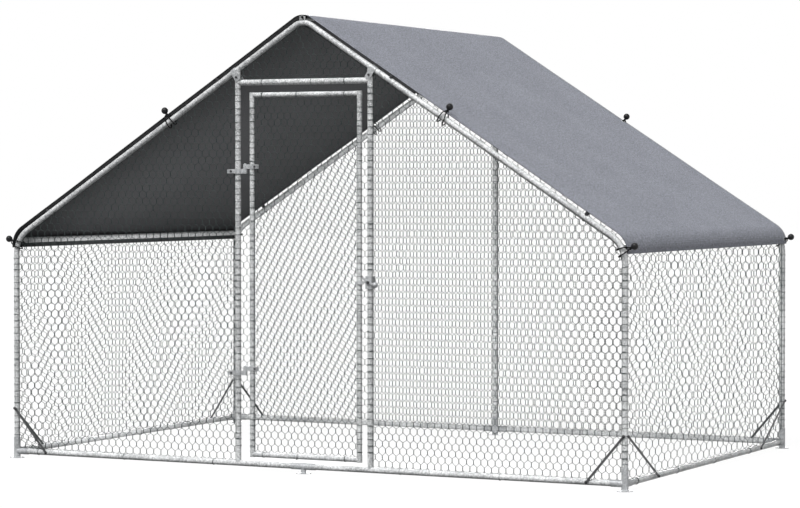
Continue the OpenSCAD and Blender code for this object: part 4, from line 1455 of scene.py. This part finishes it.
@dataclass
class RoofCover:
    """The coated cloth cover with its hem, stitching and eyelets.

    A stitch's shape has rows of a share of its length and a share of its radius there.
    """

    sizes: RunSizes
    finishes: Finishes
    cloth_t: float = 0.0013
    clear: float = 0.0002
    ridge_bend: float = 0.077
    eave_bend: float = 0.102
    left_drop: float = 0.007
    sag: float = 0.006
    sag_inset: float = 0.12
    sag_short: float = 0.20
    ripple: float = 0.0008
    ripple_along: Span = (11.0, 2.0)
    ripple_y: Span = (3.1, 5.0)
    edge_pull: float = 0.003
    pull_power: int = 12
    hem_w: float = 0.030
    hem_t: float = 0.0009
    hem_turn: float = 0.030
    hem_inset: float = 0.001
    stitch_step: float = 0.009
    stitch_l: float = 0.0062
    stitch_r: float = 0.00055
    stitch_sides: int = 4
    stitch_shape: tuple[Span, ...] = ((0.0, 0.35), (0.25, 1.0), (0.75, 1.0), (1.0, 0.35))
    stitch_lift: float = 0.00025
    stitch_map: tuple[Triple, Triple] = ((1.0, 0.31, 0.17), (0.11, 1.0, 0.23))
    seam_inset: float = 0.024
    seam_end: float = 0.012
    eyelet_r: float = 0.0082
    eyelet_tube_r: float = 0.0022
    eyelet_flat: float = 0.45
    eyelet_rings: int = 13
    eyelet_sides: int = 28
    rows: int = 90
    drop_steps: int = 3
    eave_steps: int = 14
    slope_steps: int = 64
    ridge_steps: int = 8
    hem_columns: int = 4
    hem_steps: int = 8
    hem_rows: int = 60
    ray_steps: int = 6000

    def __post_init__(self) -> None:
        """Works out the cover's section from its CAD box."""
        low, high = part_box("roof_cover")
        self.half_l = float(high[1])
        self.section = self.outer_section(float(high[0]), float(low[2]), float(high[2]))
        self.length = float(self.section[-1, 4])

    def outer_section(self, side: float, low: float, top: float) -> np.ndarray:
        """The section of the outer face, from the right-hand hem over the ridge to the left-hand one.

        Args:
            side: Distance of the hem from the middle.
            low: Height of the hem.
            top: Height of the ridge.

        Returns:
            Rows of x, z, the outward direction's x and z, and the distance along the cloth.
        """
        pitch, bend = self.sizes.pitch, self.sizes.bend
        ridge_z, eave_x = top - self.ridge_bend, side - self.eave_bend
        reach = self.ridge_bend - self.eave_bend - eave_x * math.sin(pitch)
        eave_z = (ridge_z * math.cos(pitch) + reach) / math.cos(pitch)
        drop = [(side, z, 1.0, 0.0) for z in np.linspace(low, eave_z, self.drop_steps)[:-1]]
        eave = bend_rows(eave_x, eave_z, self.eave_bend, np.linspace(0.0, bend, self.eave_steps))
        ridge = bend_rows(0.0, ridge_z, self.ridge_bend, np.linspace(bend, math.pi / 2, self.ridge_steps))
        slope = np.linspace(eave[-1], ridge[0], self.slope_steps)[1:-1]
        right = np.concatenate([drop, eave, slope, ridge])
        left = right[-2::-1] * [-1, 1, -1, 1]
        whole = np.concatenate([right, left, [(-side, low - self.left_drop, -1.0, 0.0)]])
        steps = np.linalg.norm(np.diff(whole[:, :2], axis=0), axis=1)
        return np.column_stack([whole, np.concatenate([[0.0], np.cumsum(steps)])])

    def section_at(self, along: np.ndarray | float) -> list[np.ndarray | float]:
        """Returns x, z and the outward direction's x and z at distances along the section."""
        return [np.interp(along, self.section[:, 4], column) for column in self.section[:, :4].T]

    def place(self, along: np.ndarray, y: np.ndarray, depth: float) -> np.ndarray:
        """Puts places on the cloth in space.

        Args:
            along: Distances along the section.
            y: Places from front to rear.
            depth: Depth under the cloth's outer face.

        Returns:
            Places in space.
        """
        x, z, nx, nz = self.section_at(along)
        inside = np.minimum(along, self.length - along) - self.sag_inset
        share = np.clip(inside / (self.length / 2 - self.sag_short), 0.0, 1.0)
        swell = np.sin(math.pi * share)
        middle_share = np.clip(1.0 - (y / self.half_l) ** 2, 0.0, 1.0)
        one, other = (a * along + b * y for a, b in zip(self.ripple_along, self.ripple_y))
        ripple = self.ripple * swell * (1 + np.sin(one)) * np.sin(other) ** 2
        drop = self.sag * swell * middle_share + ripple + self.clear + depth
        edge_share = np.abs(y / self.half_l) ** self.pull_power
        pull = self.edge_pull * (1 - np.cos(4 * math.pi * share)) / 2 * edge_share
        return np.stack([x - nx * drop, y - np.sign(y) * pull, z - nz * drop], axis=-1)

    def normal(self, along: float) -> np.ndarray:
        """Returns the outward direction at a distance along the section."""
        _, _, nx, nz = self.section_at(along)
        return unit(np.array([nx, 0.0, nz]))

    def meets(self, start: np.ndarray, direction: np.ndarray) -> float:
        """Finds where a ray from inside meets the cloth.

        Args:
            start: Where the ray starts.
            direction: Which way it goes.

        Returns:
            The distance along the section.
        """
        along = np.linspace(0.0, self.length, self.ray_steps)
        x, z, _, _ = self.section_at(along)
        dx, dz = x - start[0], z - start[2]
        off = np.abs(dx * direction[2] - dz * direction[0])
        off[dx * direction[0] + dz * direction[2] < 0] = np.inf
        return float(along[np.argmin(off)])

    def slab(self, draft: MeshDraft, along: np.ndarray, y: np.ndarray, top: float, under: float) -> None:
        """Draws a closed layer of cloth.

        Args:
            draft: Where it is drawn.
            along: Distances along the section.
            y: Places from front to rear.
            top: Depth of its outer face.
            under: Depth of its inner face.
        """
        grid_along, grid_y = np.meshgrid(along, y, indexing="ij")
        rows, columns = grid_along.shape
        number = np.arange(rows * columns).reshape(rows, columns)
        corners = [number[:-1, :-1], number[:-1, 1:], number[1:, 1:], number[1:, :-1]]
        face = np.stack(corners, axis=-1).reshape(-1, 4)
        back = face[:, ::-1] + rows * columns
        loop = np.concatenate([number[0, :-1], number[:-1, -1], number[-1, :0:-1], number[:0:-1, 0]])
        after = np.roll(loop, -1)
        rim = np.stack([after, loop, loop + rows * columns, after + rows * columns], axis=1)
        layers = [self.place(grid_along.ravel(), grid_y.ravel(), depth) for depth in (top, under)]
        outside, inside = ClothFace.OUTSIDE.value, ClothFace.INSIDE.value
        draft.add(np.concatenate(layers), face, back, rim, marks=(outside, inside, inside))

    def build(self, tie_rays: list[TieRay]) -> bpy.types.Object:
        """Makes the cover and what is sewn to it.

        Args:
            tie_rays: For each tie, the start and direction of its line through the cloth, and the eyelet's y.

        Returns:
            The cover.
        """
        y = np.linspace(-self.half_l, self.half_l, self.rows)
        draft = MeshDraft()
        self.slab(draft, self.section[:, 4], y, 0.0, self.cloth_t)
        cover = draft.finish("roof_cover_cloth", "frame", "cover_cloth",
                             [self.finishes.cloth_outside, self.finishes.cloth_inside])
        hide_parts("roof_cover")
        sewn = [self.hem(), self.stitching(), self.eyelets(tie_rays)]
        return cover

    def hem(self) -> bpy.types.Object:
        """Turns a hem under along all four edges.

        Returns:
            The hem.
        """
        draft, top = MeshDraft(), self.cloth_t + self.clear
        under, reach = top + self.hem_t, self.half_l - self.hem_w
        for end in (FRONT, REAR):
            edges = sorted((end * (self.half_l - self.hem_inset), end * reach))
            self.slab(draft, self.section[:, 4], np.linspace(*edges, self.hem_columns), top, under)
        for start in (self.hem_inset, self.length - self.hem_w):
            stretch = np.linspace(start, start + self.hem_w - self.hem_inset, self.hem_steps)
            self.slab(draft, stretch, np.linspace(-reach, reach, self.hem_rows), top, under)
        return draft.finish("cover_hem", "frame", "cover_cloth", [self.finishes.cloth_inside] * 2)

    def stitching(self) -> bpy.types.Object:
        """Sews a line of stitches along each edge.

        Returns:
            The stitching.
        """
        draft, reach = MeshDraft(), self.half_l - self.seam_inset
        along = np.arange(self.seam_end, self.length - self.seam_end, self.stitch_step)
        for end in (FRONT, REAR):
            self.stitch_row(draft, along, np.full(len(along), end * reach), self.stitch_l, 0.0)
        y = np.arange(-reach, reach, self.stitch_step)
        for start in (self.seam_inset, self.length - self.seam_inset):
            self.stitch_row(draft, np.full(len(y), start), y, 0.0, self.stitch_l)
        return draft.finish("cover_stitching", "frame", "cover_cloth", [self.finishes.thread],
                            np.array(self.stitch_map))

    def stitch_row(self, draft: MeshDraft, along: np.ndarray, y: np.ndarray, step_along: float,
                   step_y: float) -> None:
        """Draws one row of stitches as small spindles.

        Args:
            draft: Where they are drawn.
            along: Start of each along the section.
            y: Start of each from front to rear.
            step_along: Length of each along the section.
            step_y: Length of each from front to rear.
        """
        shares, thick = np.array(self.stitch_shape).T
        line = np.stack([self.place(along + step_along * share, y + step_y * share, -self.stitch_lift)
                         for share in shares], axis=1)
        direction = unit(line[:, -1] - line[:, 0])
        out = np.stack([self.normal(a) for a in along])
        across = np.cross(out, direction)
        ring = self.stitch_r * spokes(around(self.stitch_sides), across[:, None], out[:, None])
        draft.add_tubes(line[:, :, None] + thick[None, :, None, None] * ring[:, None])

    def eyelets(self, tie_rays: list[TieRay]) -> bpy.types.Object:
        """Sets a metal eyelet in the cloth for each tie.

        Args:
            tie_rays: For each tie, the start and direction of its line through the cloth, and the eyelet's y.

        Returns:
            The eyelets.
        """
        draft, t = MeshDraft(), self.eyelet_tube_r
        angle = np.linspace(0.0, 2 * math.pi, self.eyelet_rings)
        profile = np.stack([self.eyelet_r - t * np.cos(angle), self.eyelet_flat * t * np.sin(angle)], axis=1)
        for start, direction, y in tie_rays:
            along = self.meets(start, direction)
            place = self.place(np.array([along]), np.array([y]), 0.0)[0]
            draft.add_lathe(profile, place, self.normal(along), self.eyelet_sides)
        return draft.finish("cover_eyelets", "frame", "zinc_fitting", [self.finishes.fitting])


# Ball ties


@dataclass(frozen=True)
class TieSpot:
    """A tie's place on its tube's axis, the ways out from the tube and along it, and its end of the run."""

    place: np.ndarray
    out: np.ndarray
    along: np.ndarray
    end: int


@dataclass
class BallTies:
    """Black balls on doubled elastic loops that hold the cover to the tubes.

    The collar's rises are above the neck's foot. The dimple has rows of a radius, and of a height as a share
    of the ball's radius.
    """

    sizes: RunSizes
    finishes: Finishes
    upper_x: float = 0.668
    corner_angle: float = math.radians(22)
    ball_off: float = 0.0540
    ball_r: float = 0.0150
    ball_sides: int = 36
    ball_steps: int = 26
    ball_angles: Span = (math.radians(-66), math.radians(80))
    seam_h: float = 0.0003
    seam_w: float = 0.05
    core_r: float = 0.0003
    dimple: tuple[Span, ...] = ((0.0020, 0.965), (0.0003, 0.955))
    neck_r: float = 0.0052
    neck_l: float = 0.006
    neck_foot: float = 0.8
    collar_rises: Span = (0.001, 0.005)
    cord_r: float = 0.0026
    cord_sides: int = 9
    loop_half_w: float = 0.0145
    loop_drop: float = 0.0270
    loop_steps: int = 6

    def spots(self) -> list[TieSpot]:
        """Finds where the ties sit: on every rafter and at every eave corner.

        Returns:
            The spots.
        """
        s, turn, found = self.sizes, self.corner_angle, []
        upper = (self.upper_x, s.slope_z(self.upper_x), s.bend)
        corner = (s.elbow_x + s.eave_bend * math.cos(turn), s.elbow_z + s.eave_bend * math.sin(turn), turn)
        for end in (FRONT, REAR):
            for side in (LEFT, RIGHT):
                for x, z, angle in (upper, corner):
                    out = np.array([side * math.cos(angle), 0.0, math.sin(angle)])
                    along = np.array([-side * math.sin(angle), 0.0, math.cos(angle)])
                    found.append(TieSpot(np.array([side * x, end * s.post_y, z]), out, along, end))
        return found

    def rays(self) -> list[TieRay]:
        """Returns the line of each tie through the cover, and the y of its eyelet."""
        reach = self.sizes.post_y - (self.sizes.tube_r + self.cord_r)
        return [(spot.place, spot.out, spot.end * reach) for spot in self.spots()]

    def build(self) -> None:
        """Makes the balls and the elastic loops."""
        balls, loops = MeshDraft(), MeshDraft()
        for spot in self.spots():
            balls.add_lathe(self.ball_profile(), spot.place, spot.out, self.ball_sides)
            for hand in (LEFT, RIGHT):
                loops.add_sweep(self.loop_path(spot, hand), self.cord_r, self.cord_sides)
        piece = balls.finish("tie_ball_mouldings", "frame", "black_ball", [self.finishes.ball])
        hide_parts("tie_balls")
        piece = loops.finish("tie_elastic_loops", "frame", "black_elastic", [self.finishes.elastic])
        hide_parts("tie_elastics")

    def ball_profile(self) -> np.ndarray:
        """Draws the section of a ball: neck, collar, a ball with a parting line, and a dimple on top.

        Returns:
            Rows of radius and height.
        """
        base = self.ball_off - self.ball_r - self.neck_l
        rows = [(self.core_r, base), (self.neck_r * self.neck_foot, base)]
        rows += [(self.neck_r, base + rise) for rise in self.collar_rises]
        for angle in np.linspace(*self.ball_angles, self.ball_steps):
            radius = self.ball_r + self.seam_h * math.exp(-((angle / self.seam_w) ** 2))
            rows.append((radius * math.cos(angle), self.ball_off + radius * math.sin(angle)))
        rows += [(radius, self.ball_off + self.ball_r * share) for radius, share in self.dimple]
        return np.array(rows)

    def loop_path(self, spot: TieSpot, hand: int) -> np.ndarray:
        """The way of one elastic strand: from the ball, outside the cover's edge, round the tube and back.

        Args:
            spot: Where the tie sits.
            hand: Which of the two strands.

        Returns:
            Points of its axis.
        """
        neck = self.ball_off - self.ball_r - self.neck_l / 2
        clear = self.sizes.tube_r + 2 * self.cord_r
        wide, drop = self.loop_half_w, self.loop_drop
        # Each row goes out from the tube's axis, inward from the wall's plane and sideways.
        route = np.array([
            (neck, -0.0020, 0.0018),
            (neck - 0.007, -0.0110, 0.0045),
            (0.022, -clear, 0.0085),
            (0.000, -clear, wide * 0.9),
            (-drop * 0.75, -clear * 0.72, wide),
            (-drop, 0.0, wide),
            (-drop * 0.75, clear * 0.72, wide),
            (0.000, clear, wide * 0.8),
            (0.024, clear * 0.9, 0.0040),
            (neck, 0.0020, 0.0018),
        ])
        outward, inward, sideways = route.T[..., None]
        points = spot.place + outward * spot.out - inward * spot.end * NORTH + hand * sideways * spot.along
        return smooth_path(points, self.loop_steps)


def main() -> None:
    """Builds the run's sub-assemblies in order."""
    logging.basicConfig(level=logging.INFO, format="%(name)s: %(message)s")
    sizes = RunSizes()
    Studio().build()
    finishes = Finishes.mix()
    ties = BallTies(sizes, finishes)
    RoofCover(sizes, finishes).build(ties.rays())
    ties.build()
    TubeFrame(sizes, finishes).build()
    Netting(sizes, finishes).build()
    WireLacing(sizes, finishes).build()


if __name__ == "__main__":
    main()
